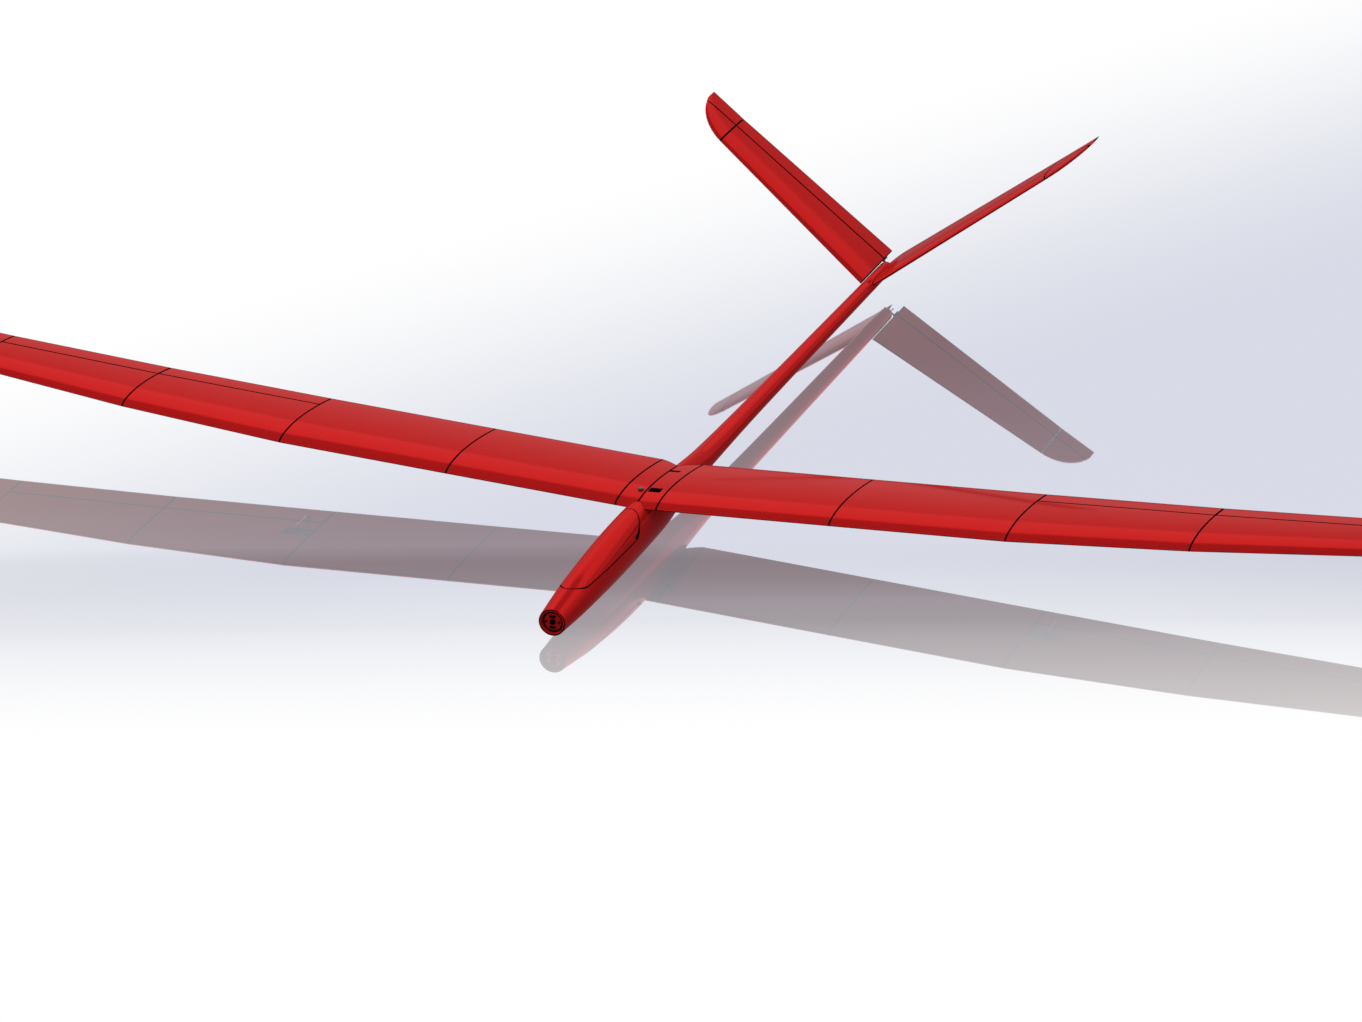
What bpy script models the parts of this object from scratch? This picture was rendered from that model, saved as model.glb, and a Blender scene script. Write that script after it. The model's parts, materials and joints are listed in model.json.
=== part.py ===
"""Radio-controlled sailplane with a V-tail: pod and boom fuselage, sectional wing, ailerons and ruddervators.

Lengths below are millimetres. X runs along the span (+X is the aircraft's left), Y from nose to tail and
Z up. Inside the script Y counts from the nose face and Z from the nose axis; world() turns both into the
part's frame, whose origin is on the floor under the middle of the aircraft's length.
"""

import math

import bmesh
import bpy
from mathutils import Matrix, Vector

MM = 0.001
GAP = 0.3                       # running and assembly gap between touching pieces
CUT_MARGIN = 5.0                # how far a cutter passes the wall it opens
CUT_ABOVE = 60.0                # how far an upright cutter rises above the wing

# Fuselage: station, half width, centre height, half height
BOOM_END_Y = 1275.0
FUSELAGE_KEYS = (
    (0.0, 19.0, 0.0, 19.0),
    (50.0, 22.3, 2.3, 23.8),
    (100.0, 24.3, 4.7, 28.2),
    (200.0, 25.7, 8.1, 34.0),
    (300.0, 24.7, 10.1, 36.0),
    (400.0, 21.5, 9.6, 33.2),
    (480.0, 16.6, 11.2, 25.4),
    (580.0, 16.0, 10.4, 17.0),
    (780.0, 13.2, 11.0, 13.2),
    (BOOM_END_Y, 10.25, 10.6, 10.25),
)
POD_RINGS = (0, 12, 25, 50, 75, 100, 130, 165, 205, 245, 285, 310, 335, 365, 400, 435, 465, 490,
             520, 550, 590, 650, 720, 800)
BOOM_RING_SHARES = (0.25, 0.59, 1.0)
FUSELAGE_RINGS = POD_RINGS + tuple(800 + (BOOM_END_Y - 800) * share for share in BOOM_RING_SHARES)
FUSELAGE_SIDES = 28
FUSELAGE_WALL = 1.5

# Nose
NOSE_RING_LENGTH = 8.0
NOSE_RING_WALL = 1.7
FIREWALL_THICKNESS = 3.0
FIREWALL_RECESS = 3.0
FIREWALL_BORE_RADIUS = 4.0
MOTOR_BOLT_RADIUS = 1.6
MOTOR_BOLT_X = 9.5
MOTOR_BOLT_Z = 8.0

# Canopy hatch: a straight sill along each side and a rounded end in plan
HATCH_SILL_Z = 19.3
HATCH_FRONT_TOP_Y = 54.0
HATCH_FRONT_SILL_Y = 82.0
HATCH_REAR_SILL_Y = 252.0
HATCH_REAR_TOP_Y = 297.0
HATCH_END_STEPS = 14
HATCH_FRONT_POWER = 1.6         # above 1 for a front edge that meets the sill at a corner
HATCH_FRAME_START_Y = 100.0
HATCH_FRAME_END_Y = 246.0
HATCH_FRAME_HALF_WIDTH = 18.6
HATCH_FRAME_BAR = 2.2
HATCH_FRAME_HEIGHT = 4.2
HATCH_FRAME_DROP = 0.8          # top of the frame below the hatch's sill
MAGNET_RADIUS = 2.5
MAGNET_THICKNESS = 3.0
MAGNET_RECESS = 0.7             # room for the glue between the magnet and the hatch

# Wing
DIHEDRAL = math.radians(2.8)
INCIDENCE = math.radians(1.9)
WING_LE_Y = 313.2
WING_LE_Z = 40.3
ROOT_CHORD = 185.0
ROOT_HALF_SPAN = 29.8
PANEL_LENGTH = 250.2
TIP_LENGTH = 112.0
PANEL_CHORDS = tuple(ROOT_CHORD * share for share in (1.0, 1.0, 1.0, 0.8973, 0.7432, 0.5135))
PANEL_SWEEPS = (0.0, 0.0, 0.5, 22.5, 60.0, 117.0)      # leading edge, behind the root's
CAMBER = 0.02
CAMBER_AT = 0.4
WING_THICKNESS = 0.083
TRAILING_EDGE = 0.7
SKIN = 1.2
RIB = 1.6
SECTION_POINTS = 13
CAVITY_START = 0.06
CAVITY_END = 0.84
CAVITY_END_ROOT = 0.8
CAVITY_HINGE_WALL = 0.02        # share of the chord left solid ahead of a hinge
ROOT_CUTOUT = 0.115             # share of the root chord that the centre gives up at its trailing edge
CUTOUT_POWER = 1.3              # how sharply that cut-out closes towards the first joint
ROOT_SHARES = (0.0, 0.33, 0.66, 1.0)
TIP_STEPS = (0.0, 0.25, 0.5, 0.7, 0.85, 0.95, 1.0)
TIP_ROUNDING = 2.4              # power of the curve that the tip's chord follows
TIP_END_SHARE = 0.985           # how far along that curve the tip stops
TIP_SWEEP = 9.0                 # how far the trailing edge runs back over the tip

# Ailerons: hinge height follows the middle of the section
AILERON_CHORD = 42.5
HINGE_GAP = 0.8
AILERON_WEDGE = math.radians(25.0)
AILERON_END_GAP = 0.5

# Spars, joiner and wing bolts
SPAR_Y = WING_LE_Y + 58.8
SPAR_RADIUS = 4.0
SPAR_WALL = 1.0
SPAR_END_X = ROOT_HALF_SPAN + 3 * PANEL_LENGTH + 19.6
OUTER_SPAR_RADIUS = 2.0
OUTER_SPAR_WALL = 0.6
OUTER_SPAR_START_X = SPAR_END_X + 12.0
OUTER_SPAR_END_X = ROOT_HALF_SPAN + 5 * PANEL_LENGTH - 10.8
OUTER_SPAR_CHORD_SHARE = 0.36
JOINER_HALF_LENGTH = 90.0
FRONT_BOLT = (-8.0, 355.0)
REAR_BOLT = (8.0, 445.0)
BOLT_RADIUS = 2.5
BOLT_HEAD_RADIUS = 4.0
BOLT_HEAD_HEIGHT = 2.0
REAR_SCREW_RADIUS = 1.5
REAR_SCREW_HEAD_RADIUS = 2.4
LEAD_POCKET = (2.5, 20.5, 352.5, 366.5)
LEAD_POCKET_DEPTH = 20.0
REAR_POCKET = (0.6, 15.6, 441.5, 450.0)
REAR_POCKET_DEPTH = 3.6
POCKET_FLOOR = 0.5              # added to the skin under a pocket
REAR_SCREW_HEAD_HEIGHT = 1.6
HEAD_CLEARANCE = 0.1            # added to the gap under a bolt's head
BOLT_END_DROP = 1.0             # how far a bolt's end passes the saddle
SADDLE_START_Y = 335.0
SADDLE_END_Y = 450.0
SADDLE_HALF_WIDTH = 12.5
SADDLE_THICKNESS = 3.5
SADDLE_TOP_Z = 27.0

# Wing servo bay, just outboard of the third joint
BAY_INSET = 3.0
BAY_CHORD_SHARE = 0.4935        # where the bay's front edge lies
BAY_START_Y = round(WING_LE_Y + PANEL_SWEEPS[2] + BAY_CHORD_SHARE * PANEL_CHORDS[2], 1)
BAY_DEPTH = 4.0                 # past the lower skin, into the hollow of the panel
SERVO_LENGTH = 22.6
SERVO_SHAFT_INSET = 5.0
SERVO_THICKNESS = 8.6
SERVO_CLEARANCE = 2.2
BAY_CLEARANCE = 0.7
BAY_WIDTH = SERVO_LENGTH + 2 * BAY_CLEARANCE
SERVO_HEIGHT = 21.0
BAY_LENGTH = SERVO_HEIGHT + 23.0
ARM_THICKNESS = 1.3
ARM_HUB_RADIUS = 2.6
ARM_TIP_RADIUS = 1.7
WING_ARM_LENGTH = 11.0
ROD_RADIUS = 0.75
ROD_END_RADIUS = 1.1
ROD_END_LENGTH = 7.0
ROD_END_PAST = 1.5              # how far a rod's end passes the hole it joins
ROD_SHOULDER = 1.0
HORN_FOOT = (6.0, 18.0)         # behind the hinge line
HORN_NECK = (1.0, 3.0)          # behind the hinge and above the hole

# V-tail: s runs along each fin from the boom's centre line
FIN_ANGLE = math.radians(35.5)
FIN_APEX_Z = 10.0
FIN_ROOT_S = 11.5
FIN_JOINT_S = 313.0
FIN_TIP_S = 376.0
FIN_ROOT_LE_Y = BOOM_END_Y + 3.5
FIN_ROOT_CHORD = 143.5
FIN_JOINT_LE_Y = BOOM_END_Y + 66.6
FIN_JOINT_CHORD = 101.4
FIN_TIP_TE_Y = BOOM_END_Y + 175.5
FIN_THICKNESS = 0.08
RUDDER_ROOT_CHORD = 42.0
RUDDER_JOINT_CHORD = 36.0
RUDDER_WEDGE = math.radians(30.0)
FIN_END_CHORD = 10.0            # how much shorter the fin's chord is at the very tip, before it rounds off
FIN_ROUNDING = 2.3
FIN_TIP_MIN_WIDTH = 6.0         # the fixed tip ends where it is this wide
FIN_TIP_STEPS = (0.3, 0.55, 0.75, 0.9, 1.0)
RUDDER_TIP_STEPS = (0.3, 0.55, 0.75, 0.88, 0.97)
HORN_S = 3.0
HORN_RADIUS = 6.5
HORN_BAR_RADIUS = 1.3
HORN_HUB_RADIUS = 2.2
HORN_PLATE_HALF = 0.8
HORN_FLANGE_LENGTH = 14.0
HORN_FLANGE_TIP_RADIUS = 1.5

# Tail mount: plug and stub that carry the fins
TAIL_PLUG_LENGTH = 20.0
TAIL_MOUNT_END_Y = BOOM_END_Y + 96.0
TAIL_MOUNT_FLAT = 10.9
TAIL_MOUNT_TAPER = ((6.0, 0.5), (0.0, 2.0))     # ahead of its end, and taken off its radius there

# Radio gear
TRAY_START_Y = 62.0
TRAY_END_Y = 262.0
TRAY_HALF_WIDTH = 16.2
TRAY_TOP_Z = -8.5
TRAY_THICKNESS = 2.0
BATTERY = (12.0, 68.0, 143.0, 16.0)          # half width, front, back, height
RECEIVER = (11.0, 150.0, 185.0, 11.0)
TAIL_SERVO_Y = {1: 200.0, -1: 236.0}
TAIL_ROD_SHORT = 2.0            # how far a tail rod stops ahead of its horn

LENGTH = FIN_TIP_TE_Y
SIDES = {1: "left", -1: "right"}


def smooth_key(y, column):
    """Cubic through the fuselage keys, with slopes taken from the neighbours."""
    keys = FUSELAGE_KEYS
    last = len(keys) - 1
    i = max(k for k in range(last) if keys[k][0] <= y or k == 0)
    slopes = []
    for k in (i, i + 1):
        before, after = keys[max(k - 1, 0)], keys[min(k + 1, last)]
        slopes.append((after[column] - before[column]) / (after[0] - before[0]))
    start, end = keys[i], keys[i + 1]
    span = end[0] - start[0]
    t = (y - start[0]) / span
    value = (2 * t**3 - 3 * t**2 + 1) * start[column] + (3 * t**2 - 2 * t**3) * end[column]
    return value + span * ((t**3 - 2 * t**2 + t) * slopes[0] + (t**3 - t**2) * slopes[1])


def fuselage_section(y):
    """Half width, centre height and half height of the fuselage at a station."""
    return tuple(smooth_key(y, column) for column in (1, 2, 3))


BELLY_DEPTH = max(section[2] - section[1] for section in map(fuselage_section, FUSELAGE_RINGS))


def world(x, y, z):
    """From nose millimetres to the part's frame in metres."""
    return Vector((x, y - LENGTH / 2, z + BELLY_DEPTH)) * MM


# ---------------------------------------------------------------- building blocks

MATERIALS = {}


def material(name, colour, roughness, metallic=0.0):
    if name not in MATERIALS:
        made = bpy.data.materials.new(name)
        made.use_nodes = True
        shader = made.node_tree.nodes["Principled BSDF"]
        shader.inputs["Base Color"].default_value = (*colour, 1.0)
        shader.inputs["Roughness"].default_value = roughness
        shader.inputs["Metallic"].default_value = metallic
        MATERIALS[name] = made
    return MATERIALS[name]


def red_shell():
    return material("red_shell", (0.55, 0.03, 0.03), 0.35)


def carbon():
    return material("carbon", (0.03, 0.03, 0.035), 0.3)


def black_plastic():
    return material("black_plastic", (0.02, 0.02, 0.022), 0.45)


def steel():
    return material("steel", (0.6, 0.6, 0.62), 0.25, 1.0)


def plywood():
    return material("plywood", (0.55, 0.38, 0.2), 0.7)


def finish(name, bm, surface, smooth_angle=None):
    """Turn a bmesh into a named object."""
    bmesh.ops.recalc_face_normals(bm, faces=bm.faces)
    mesh = bpy.data.meshes.new(name)
    bm.to_mesh(mesh)
    bm.free()
    mesh.materials.append(surface)
    if smooth_angle is not None:
        mesh.shade_smooth()
        mesh.set_sharp_from_angle(angle=math.radians(smooth_angle))
    made = bpy.data.objects.new(name, mesh)
    bpy.context.scene.collection.objects.link(made)
    return made


def skin_between(bm, loops):
    """Quads between each closed loop of vertices and the next."""
    for near, far in zip(loops, loops[1:]):
        for i, vertex in enumerate(near):
            j = (i + 1) % len(near)
            bm.faces.new((vertex, near[j], far[j], far[i]))


def loft(name, rings, surface, smooth_angle=30.0):
    """Solid through closed rings of points with the same count."""
    bm = bmesh.new()
    loops = [[bm.verts.new(point) for point in ring] for ring in rings]
    skin_between(bm, loops)
    bm.faces.new(loops[0])
    bm.faces.new(loops[-1])
    return finish(name, bm, surface, smooth_angle)


def shell_loft(name, outer_rings, inner_rings, surface, smooth_angle=30.0):
    """Open tube with a wall: an outer and an inner skin joined at both ends."""
    bm = bmesh.new()
    outer = [[bm.verts.new(point) for point in ring] for ring in outer_rings]
    inner = [[bm.verts.new(point) for point in ring] for ring in inner_rings]
    skin_between(bm, outer)
    skin_between(bm, inner)
    skin_between(bm, [outer[0], inner[0]])
    skin_between(bm, [outer[-1], inner[-1]])
    return finish(name, bm, surface, smooth_angle)


def box(name, low, high, surface):
    """Block between two corners given in nose millimetres."""
    bm = bmesh.new()
    bmesh.ops.create_cube(bm, size=1.0)
    low, high = world(*low), world(*high)
    size = high - low
    bmesh.ops.scale(bm, vec=size, verts=bm.verts)
    bmesh.ops.translate(bm, vec=(low + high) / 2, verts=bm.verts)
    return finish(name, bm, surface)


def circle(centre, radius, u, v, sides):
    """Points in metres around a centre, in the plane of the unit vectors u and v."""
    angles = (2 * math.pi * k / sides for k in range(sides))
    return [centre + (u * math.cos(a) + v * math.sin(a)) * radius * MM for a in angles]


def rod(name, points_mm, radii, surface, sides=12, aim=None):
    """Round bar through points; each ring faces along the whole bar or along aim."""
    points = [world(*point) for point in points_mm]
    along = (aim or (points[-1] - points[0])).normalized()
    u = along.orthogonal().normalized()
    v = along.cross(u)
    rings = [circle(point, radius, u, v, sides) for point, radius in zip(points, radii)]
    return loft(name, rings, surface)


def tube(name, start, end, radius, wall, surface, sides=20):
    """Straight pipe between two points."""
    start, end = world(*start), world(*end)
    along = (end - start).normalized()
    u = along.orthogonal().normalized()
    v = along.cross(u)
    outer = [circle(point, radius, u, v, sides) for point in (start, end)]
    inner = [circle(point, radius - wall, u, v, sides) for point in (start, end)]
    return shell_loft(name, outer, inner, surface)


def cutter(made):
    made.hide_render = True
    made.display_type = "WIRE"
    return made


def cut(target, tool, operation="DIFFERENCE"):
    modifier = target.modifiers.new(tool.name, "BOOLEAN")
    modifier.operation = operation
    modifier.solver = "EXACT"
    modifier.object = cutter(tool)


def ride_on(name, pivot, children):
    """Parent the pieces of one moving body to an empty on its joint's axis."""
    axis = bpy.data.objects.new(name, None)
    axis.location = pivot
    bpy.context.scene.collection.objects.link(axis)
    for child in children:
        child.data.transform(Matrix.Translation(-pivot))
        child.parent = axis


# ---------------------------------------------------------------- fuselage

def fuselage_ring(y, inset=0.0):
    half_width, centre, half_height = fuselage_section(y)
    angles = (2 * math.pi * k / FUSELAGE_SIDES for k in range(FUSELAGE_SIDES))
    return [world((half_width - inset) * math.cos(a), y, centre + (half_height - inset) * math.sin(a))
            for a in angles]


def fuselage_skin(name):
    outer = [fuselage_ring(y) for y in FUSELAGE_RINGS]
    inner = [fuselage_ring(y, FUSELAGE_WALL) for y in FUSELAGE_RINGS]
    return shell_loft(name, outer, inner, red_shell(), 40.0)


def sill_half_width(y):
    """Half width of the pod at the height of the hatch's sill."""
    half_width, centre, half_height = fuselage_section(y)
    return half_width * math.sqrt(1 - ((HATCH_SILL_Z - centre) / half_height) ** 2)


def hatch_prism(name, grow):
    """Upright prism of the hatch's outline in plan: a pointed arch in front, a half ellipse behind."""
    low, high = HATCH_SILL_Z - grow, WING_LE_Z + CUT_ABOVE
    clear = max(key[1] for key in FUSELAGE_KEYS) + CUT_MARGIN
    outline = []
    ends = ((HATCH_FRONT_SILL_Y, HATCH_FRONT_TOP_Y - HATCH_FRONT_SILL_Y, math.pi, HATCH_FRONT_POWER),
            (HATCH_REAR_SILL_Y, HATCH_REAR_TOP_Y - HATCH_REAR_SILL_Y, 0.0, 1.0))
    for corner_y, reach, start, power in ends:
        side = math.cos(start)
        half = sill_half_width(corner_y) + grow
        reach += side * grow
        outline.append((side * clear, corner_y))
        for k in range(HATCH_END_STEPS + 1):
            angle = start + math.pi * k / HATCH_END_STEPS
            outline.append((math.cos(angle) * half, corner_y + abs(math.sin(angle)) ** power * reach))
        outline.append((-side * clear, corner_y))
    rings = [[world(x, y, z) for x, y in outline] for z in (low, high)]
    return loft(name, rings, red_shell(), None)


def build_fuselage():
    shell = fuselage_skin("fuselage_shell")
    cut(shell, hatch_prism("opening_hatch", GAP / 2))
    cut(shell, wing_envelope("opening_wing", GAP))
    half = SADDLE_HALF_WIDTH + GAP
    cut(shell, box("opening_saddle", (-half, SADDLE_START_Y - GAP, SADDLE_TOP_Z - SADDLE_THICKNESS - GAP),
                   (half, SADDLE_END_Y + GAP, WING_LE_Z + CUT_ABOVE), red_shell()))


def build_hatch():
    hatch = fuselage_skin("canopy_hatch")
    cut(hatch, hatch_prism("keep_hatch", -GAP / 2), "INTERSECT")
    _, centre, half_height = fuselage_section(HATCH_REAR_SILL_Y)
    top = centre + half_height - FUSELAGE_WALL - GAP - MAGNET_RECESS
    magnet_y = HATCH_REAR_SILL_Y
    magnet = rod("hatch_magnet", [(0, magnet_y, top - MAGNET_THICKNESS), (0, magnet_y, top)],
                 [MAGNET_RADIUS] * 2, steel(), 16)
    ride_on("hatch_lift", world(0, HATCH_REAR_SILL_Y, HATCH_SILL_Z), [hatch, magnet])


def build_hatch_frame():
    top = HATCH_SILL_Z - HATCH_FRAME_DROP
    low = top - HATCH_FRAME_HEIGHT
    half = HATCH_FRAME_HALF_WIDTH
    bar = HATCH_FRAME_BAR
    start, end = HATCH_FRAME_START_Y, HATCH_FRAME_END_Y
    frame = box("hatch_frame", (-half, start, low), (half, end, top), plywood())
    inside = box("inside_hatch_frame", (-half + bar, start + bar, low - CUT_MARGIN),
                 (half - bar, end - bar, top + CUT_MARGIN), plywood())
    cut(frame, inside)


def build_nose():
    inner = FUSELAGE_KEYS[0][1] - FUSELAGE_WALL - GAP
    tube("nose_ring", (0, 0, 0), (0, NOSE_RING_LENGTH, 0), inner, NOSE_RING_WALL, red_shell(), 40)
    radius = inner - NOSE_RING_WALL - GAP
    front, back = FIREWALL_RECESS, FIREWALL_RECESS + FIREWALL_THICKNESS
    firewall = rod("motor_firewall", [(0, front, 0), (0, back, 0)], [radius] * 2, red_shell(), 40)
    holes = [(0, 0, FIREWALL_BORE_RADIUS), (MOTOR_BOLT_X, 0, MOTOR_BOLT_RADIUS),
             (-MOTOR_BOLT_X, 0, MOTOR_BOLT_RADIUS), (0, MOTOR_BOLT_Z, MOTOR_BOLT_RADIUS),
             (0, -MOTOR_BOLT_Z, MOTOR_BOLT_RADIUS)]
    for number, (x, z, hole) in enumerate(holes):
        ends = [(x, front - CUT_MARGIN, z), (x, back + CUT_MARGIN, z)]
        drill = rod(f"drill_firewall_{number}", ends, [hole] * 2, red_shell(), 20)
        cut(firewall, drill)


# ---------------------------------------------------------------- wing sections

def wing_station(x):
    """Leading edge y and z and chord at a distance from the centre line."""
    x = abs(x)
    le_z = WING_LE_Z + x * math.tan(DIHEDRAL)
    if x <= ROOT_HALF_SPAN:
        return WING_LE_Y, le_z, ROOT_CHORD
    along = min((x - ROOT_HALF_SPAN) / PANEL_LENGTH, len(PANEL_CHORDS) - 1)
    i = min(int(along), len(PANEL_CHORDS) - 2)
    t = along - i
    sweep = PANEL_SWEEPS[i] * (1 - t) + PANEL_SWEEPS[i + 1] * t
    return WING_LE_Y + sweep, le_z, PANEL_CHORDS[i] * (1 - t) + PANEL_CHORDS[i + 1] * t


def camber_line(u):
    m, p = CAMBER, CAMBER_AT
    if u < p:
        return m / p**2 * (2 * p * u - u**2)
    return m / (1 - p) ** 2 * (1 - 2 * p + 2 * p * u - u**2)


def half_thickness(u, thickness):
    u = max(u, 0.0)
    return 5 * thickness * (0.2969 * math.sqrt(u) - 0.1260 * u - 0.3516 * u**2 + 0.2843 * u**3
                            - 0.1036 * u**4)


def surface_point(x, u, side, grow=0.0):
    """Point on the wing skin: side is +1 for the top, -1 for the underside, 0 for the camber line."""
    le_y, le_z, chord = wing_station(x)
    half = half_thickness(u, WING_THICKNESS) + u * TRAILING_EDGE / (2 * chord)
    rise = camber_line(u) * chord + side * (half * chord + grow)
    along = u * chord
    y = le_y + along * math.cos(INCIDENCE) + rise * math.sin(INCIDENCE)
    z = le_z - along * math.sin(INCIDENCE) + rise * math.cos(INCIDENCE)
    return x, y, z


def cosine_steps(start, end, count, crowd_start=True):
    """Values from start to end, closer together at the start."""
    steps = [k / count for k in range(count + 1)]
    if crowd_start:
        steps = [1 - math.cos(step * math.pi / 2) for step in steps]
    return [start + (end - start) * step for step in steps]


def wing_ring(x, end=1.0):
    """Outline of the section from the top's end round the leading edge to the bottom's end."""
    steps = cosine_steps(0.0, end, SECTION_POINTS)
    top = [surface_point(x, u, 1) for u in reversed(steps)]
    bottom = [surface_point(x, u, -1) for u in steps[1:]]
    return [world(*point) for point in top + bottom]


def cavity_ring(x, end):
    steps = cosine_steps(CAVITY_START, end, 8, False)
    top = [surface_point(x, u, 1, -SKIN) for u in reversed(steps)]
    bottom = [surface_point(x, u, -1, -SKIN) for u in steps]
    return [world(*point) for point in top + bottom]


def root_end(x):
    """Share of the chord where the centre's trailing edge cut-out ends."""
    return 1.0 - ROOT_CUTOUT * max(0.0, 1.0 - abs(x) / ROOT_HALF_SPAN) ** CUTOUT_POWER


def wing_envelope(name, grow):
    """The centre of the wing, grown by a gap, to seat it in the fuselage."""
    rings = []
    half = ROOT_HALF_SPAN + 10.0
    for x in (-half, -20.0, -10.0, 0.0, 10.0, 20.0, half):
        steps = cosine_steps(0.0, root_end(x), SECTION_POINTS)
        top = [surface_point(x, u, 1, grow) for u in reversed(steps)]
        bottom = [surface_point(x, u, -1, grow) for u in steps]
        ring = [world(*point) for point in top + bottom]
        back = Vector((0, grow * MM, 0))
        ring[0] += back
        ring[-1] += back
        ring[SECTION_POINTS] -= back
        ring[SECTION_POINTS + 1] -= back
        rings.append(ring)
    return loft(name, rings, red_shell(), None)


def station_x(number):
    return ROOT_HALF_SPAN + PANEL_LENGTH * (number - 1)


def spar_height(x):
    """Middle of the wing section at the main spar, straight from the centre line outwards."""
    inner, outer = station_x(1), station_x(4)
    heights = []
    for at in (inner, outer):
        le_y, _, chord = wing_station(at)
        heights.append(surface_point(at, (SPAR_Y - le_y) / chord, 0)[2])
    return heights[0] + (heights[1] - heights[0]) * (abs(x) - inner) / (outer - inner)


def spar_point(x):
    return x, SPAR_Y, spar_height(x)


def outer_spar_point(x):
    """Straight line between two section points of the outer wing."""
    ends = []
    for at in (OUTER_SPAR_START_X, OUTER_SPAR_END_X):
        ends.append(surface_point(at, OUTER_SPAR_CHORD_SHARE, 0))
    t = (abs(x) - OUTER_SPAR_START_X) / (OUTER_SPAR_END_X - OUTER_SPAR_START_X)
    y, z = (ends[0][axis] * (1 - t) + ends[1][axis] * t for axis in (1, 2))
    return x, y, z


def hinge_point(side, number):
    """A point of the aileron's hinge line at a wing joint."""
    x = station_x(number)
    return surface_point(side * x, hinge_share(x), 0)


def hinge_share(x):
    return 1.0 - AILERON_CHORD / wing_station(x)[2]


def panel_end(x, number):
    """Share of the chord where a panel's fixed skin ends: ahead of the hinge on the aileron panels."""
    if number in (3, 4):
        return hinge_share(x) - HINGE_GAP / wing_station(x)[2]
    return 1.0


def spar_tunnel(name, side):
    clearance = SPAR_RADIUS + GAP
    start, end = spar_point(-side * 1.0), spar_point(side * (SPAR_END_X + 1.0))
    return rod(name, [start, end], [clearance] * 2, red_shell(), 20)


def build_wing_roots():
    for side, word in SIDES.items():
        stations = [side * share * ROOT_HALF_SPAN for share in ROOT_SHARES]
        stations[0] = side * GAP / 2
        stations[-1] = side * (ROOT_HALF_SPAN - GAP / 2)
        half = loft(f"wing_root_{word}", [wing_ring(x, root_end(x)) for x in stations], red_shell(), 25.0)
        ribs = (GAP / 2 + RIB, ROOT_HALF_SPAN - GAP / 2 - RIB)
        cavity = [cavity_ring(side * x, CAVITY_END_ROOT) for x in ribs]
        cut(half, loft(f"cavity_root_{word}", cavity, red_shell(), None))
        cut(half, spar_tunnel(f"tunnel_root_{word}", side))
        if side == 1:
            cut_pocket(half, "pocket_lead", LEAD_POCKET, LEAD_POCKET_DEPTH)
            cut_pocket(half, "pocket_rear", REAR_POCKET, REAR_POCKET_DEPTH)
            drill_down(half, "drill_rear", REAR_BOLT, REAR_SCREW_RADIUS + GAP)
        else:
            drill_down(half, "drill_front", FRONT_BOLT, BOLT_RADIUS + GAP)


def skin_height(x, y, side):
    """Height of the wing skin above or below a place in plan view."""
    le_y, _, chord = wing_station(x)
    return surface_point(x, (y - le_y) / chord, side)[2]


def pocket_heights(x, y, depth):
    """Floor and top of a pocket of that depth, kept above the lower skin."""
    top = skin_height(x, y, 1)
    return max(top - depth, skin_height(x, y, -1) + SKIN + POCKET_FLOOR), top


def cut_pocket(target, name, pocket, depth):
    x0, x1, y0, y1 = pocket
    floor, top = pocket_heights((x0 + x1) / 2, (y0 + y1) / 2, depth)
    cut(target, box(name, (x0, y0, floor), (x1, y1, top + CUT_MARGIN), red_shell()))


def drill_down(target, name, place, radius):
    x, y = place
    low, high = skin_height(x, y, -1) - CUT_MARGIN, skin_height(x, y, 1) + CUT_MARGIN
    cut(target, rod(name, [(x, y, low), (x, y, high)], [radius] * 2, red_shell(), 20))


def build_panels():
    for side, word in SIDES.items():
        for number in range(1, 6):
            inner = station_x(number) + GAP / 2
            outer = station_x(number + 1) - GAP / 2
            rings = [wing_ring(side * x, panel_end(x, number)) for x in (inner, outer)]
            panel = loft(f"wing_panel_{number}_{word}", rings, red_shell(), 25.0)
            end = CAVITY_END
            if number in (3, 4):
                end = min(panel_end(x, number) for x in (inner, outer)) - CAVITY_HINGE_WALL
            places = (inner + RIB, outer - RIB)
            cavity = [cavity_ring(side * x, end) for x in places]
            cut(panel, loft(f"cavity_{number}_{word}", cavity, red_shell(), None))
            if number <= 4:
                cut(panel, spar_tunnel(f"tunnel_{number}_{word}", side))
            if number >= 4:
                start = outer_spar_point(side * (OUTER_SPAR_START_X - 1))
                stop = outer_spar_point(side * (OUTER_SPAR_END_X + 1))
                clearance = OUTER_SPAR_RADIUS + GAP
                cut(panel, rod(f"tunnel_outer_{number}_{word}", [start, stop], [clearance] * 2,
                               red_shell(), 16))
            if number == 3:
                cut(panel, servo_bay_cutter(side, word))


def build_tips():
    """Rounded wing tips: the chord shrinks along a quarter of an ellipse towards the trailing edge."""
    inner = station_x(6)
    le_y, _, chord = wing_station(inner)
    for side, word in SIDES.items():
        rings = []
        for step in TIP_STEPS:
            x = inner + GAP / 2 + TIP_LENGTH * step
            ring_chord = chord * math.sqrt(1 - (step * TIP_END_SHARE) ** TIP_ROUNDING)
            start = le_y + chord + TIP_SWEEP * step - ring_chord
            rings.append(tip_ring(side * x, start, ring_chord))
        loft(f"wing_tip_{word}", rings, red_shell(), 25.0)


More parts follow.
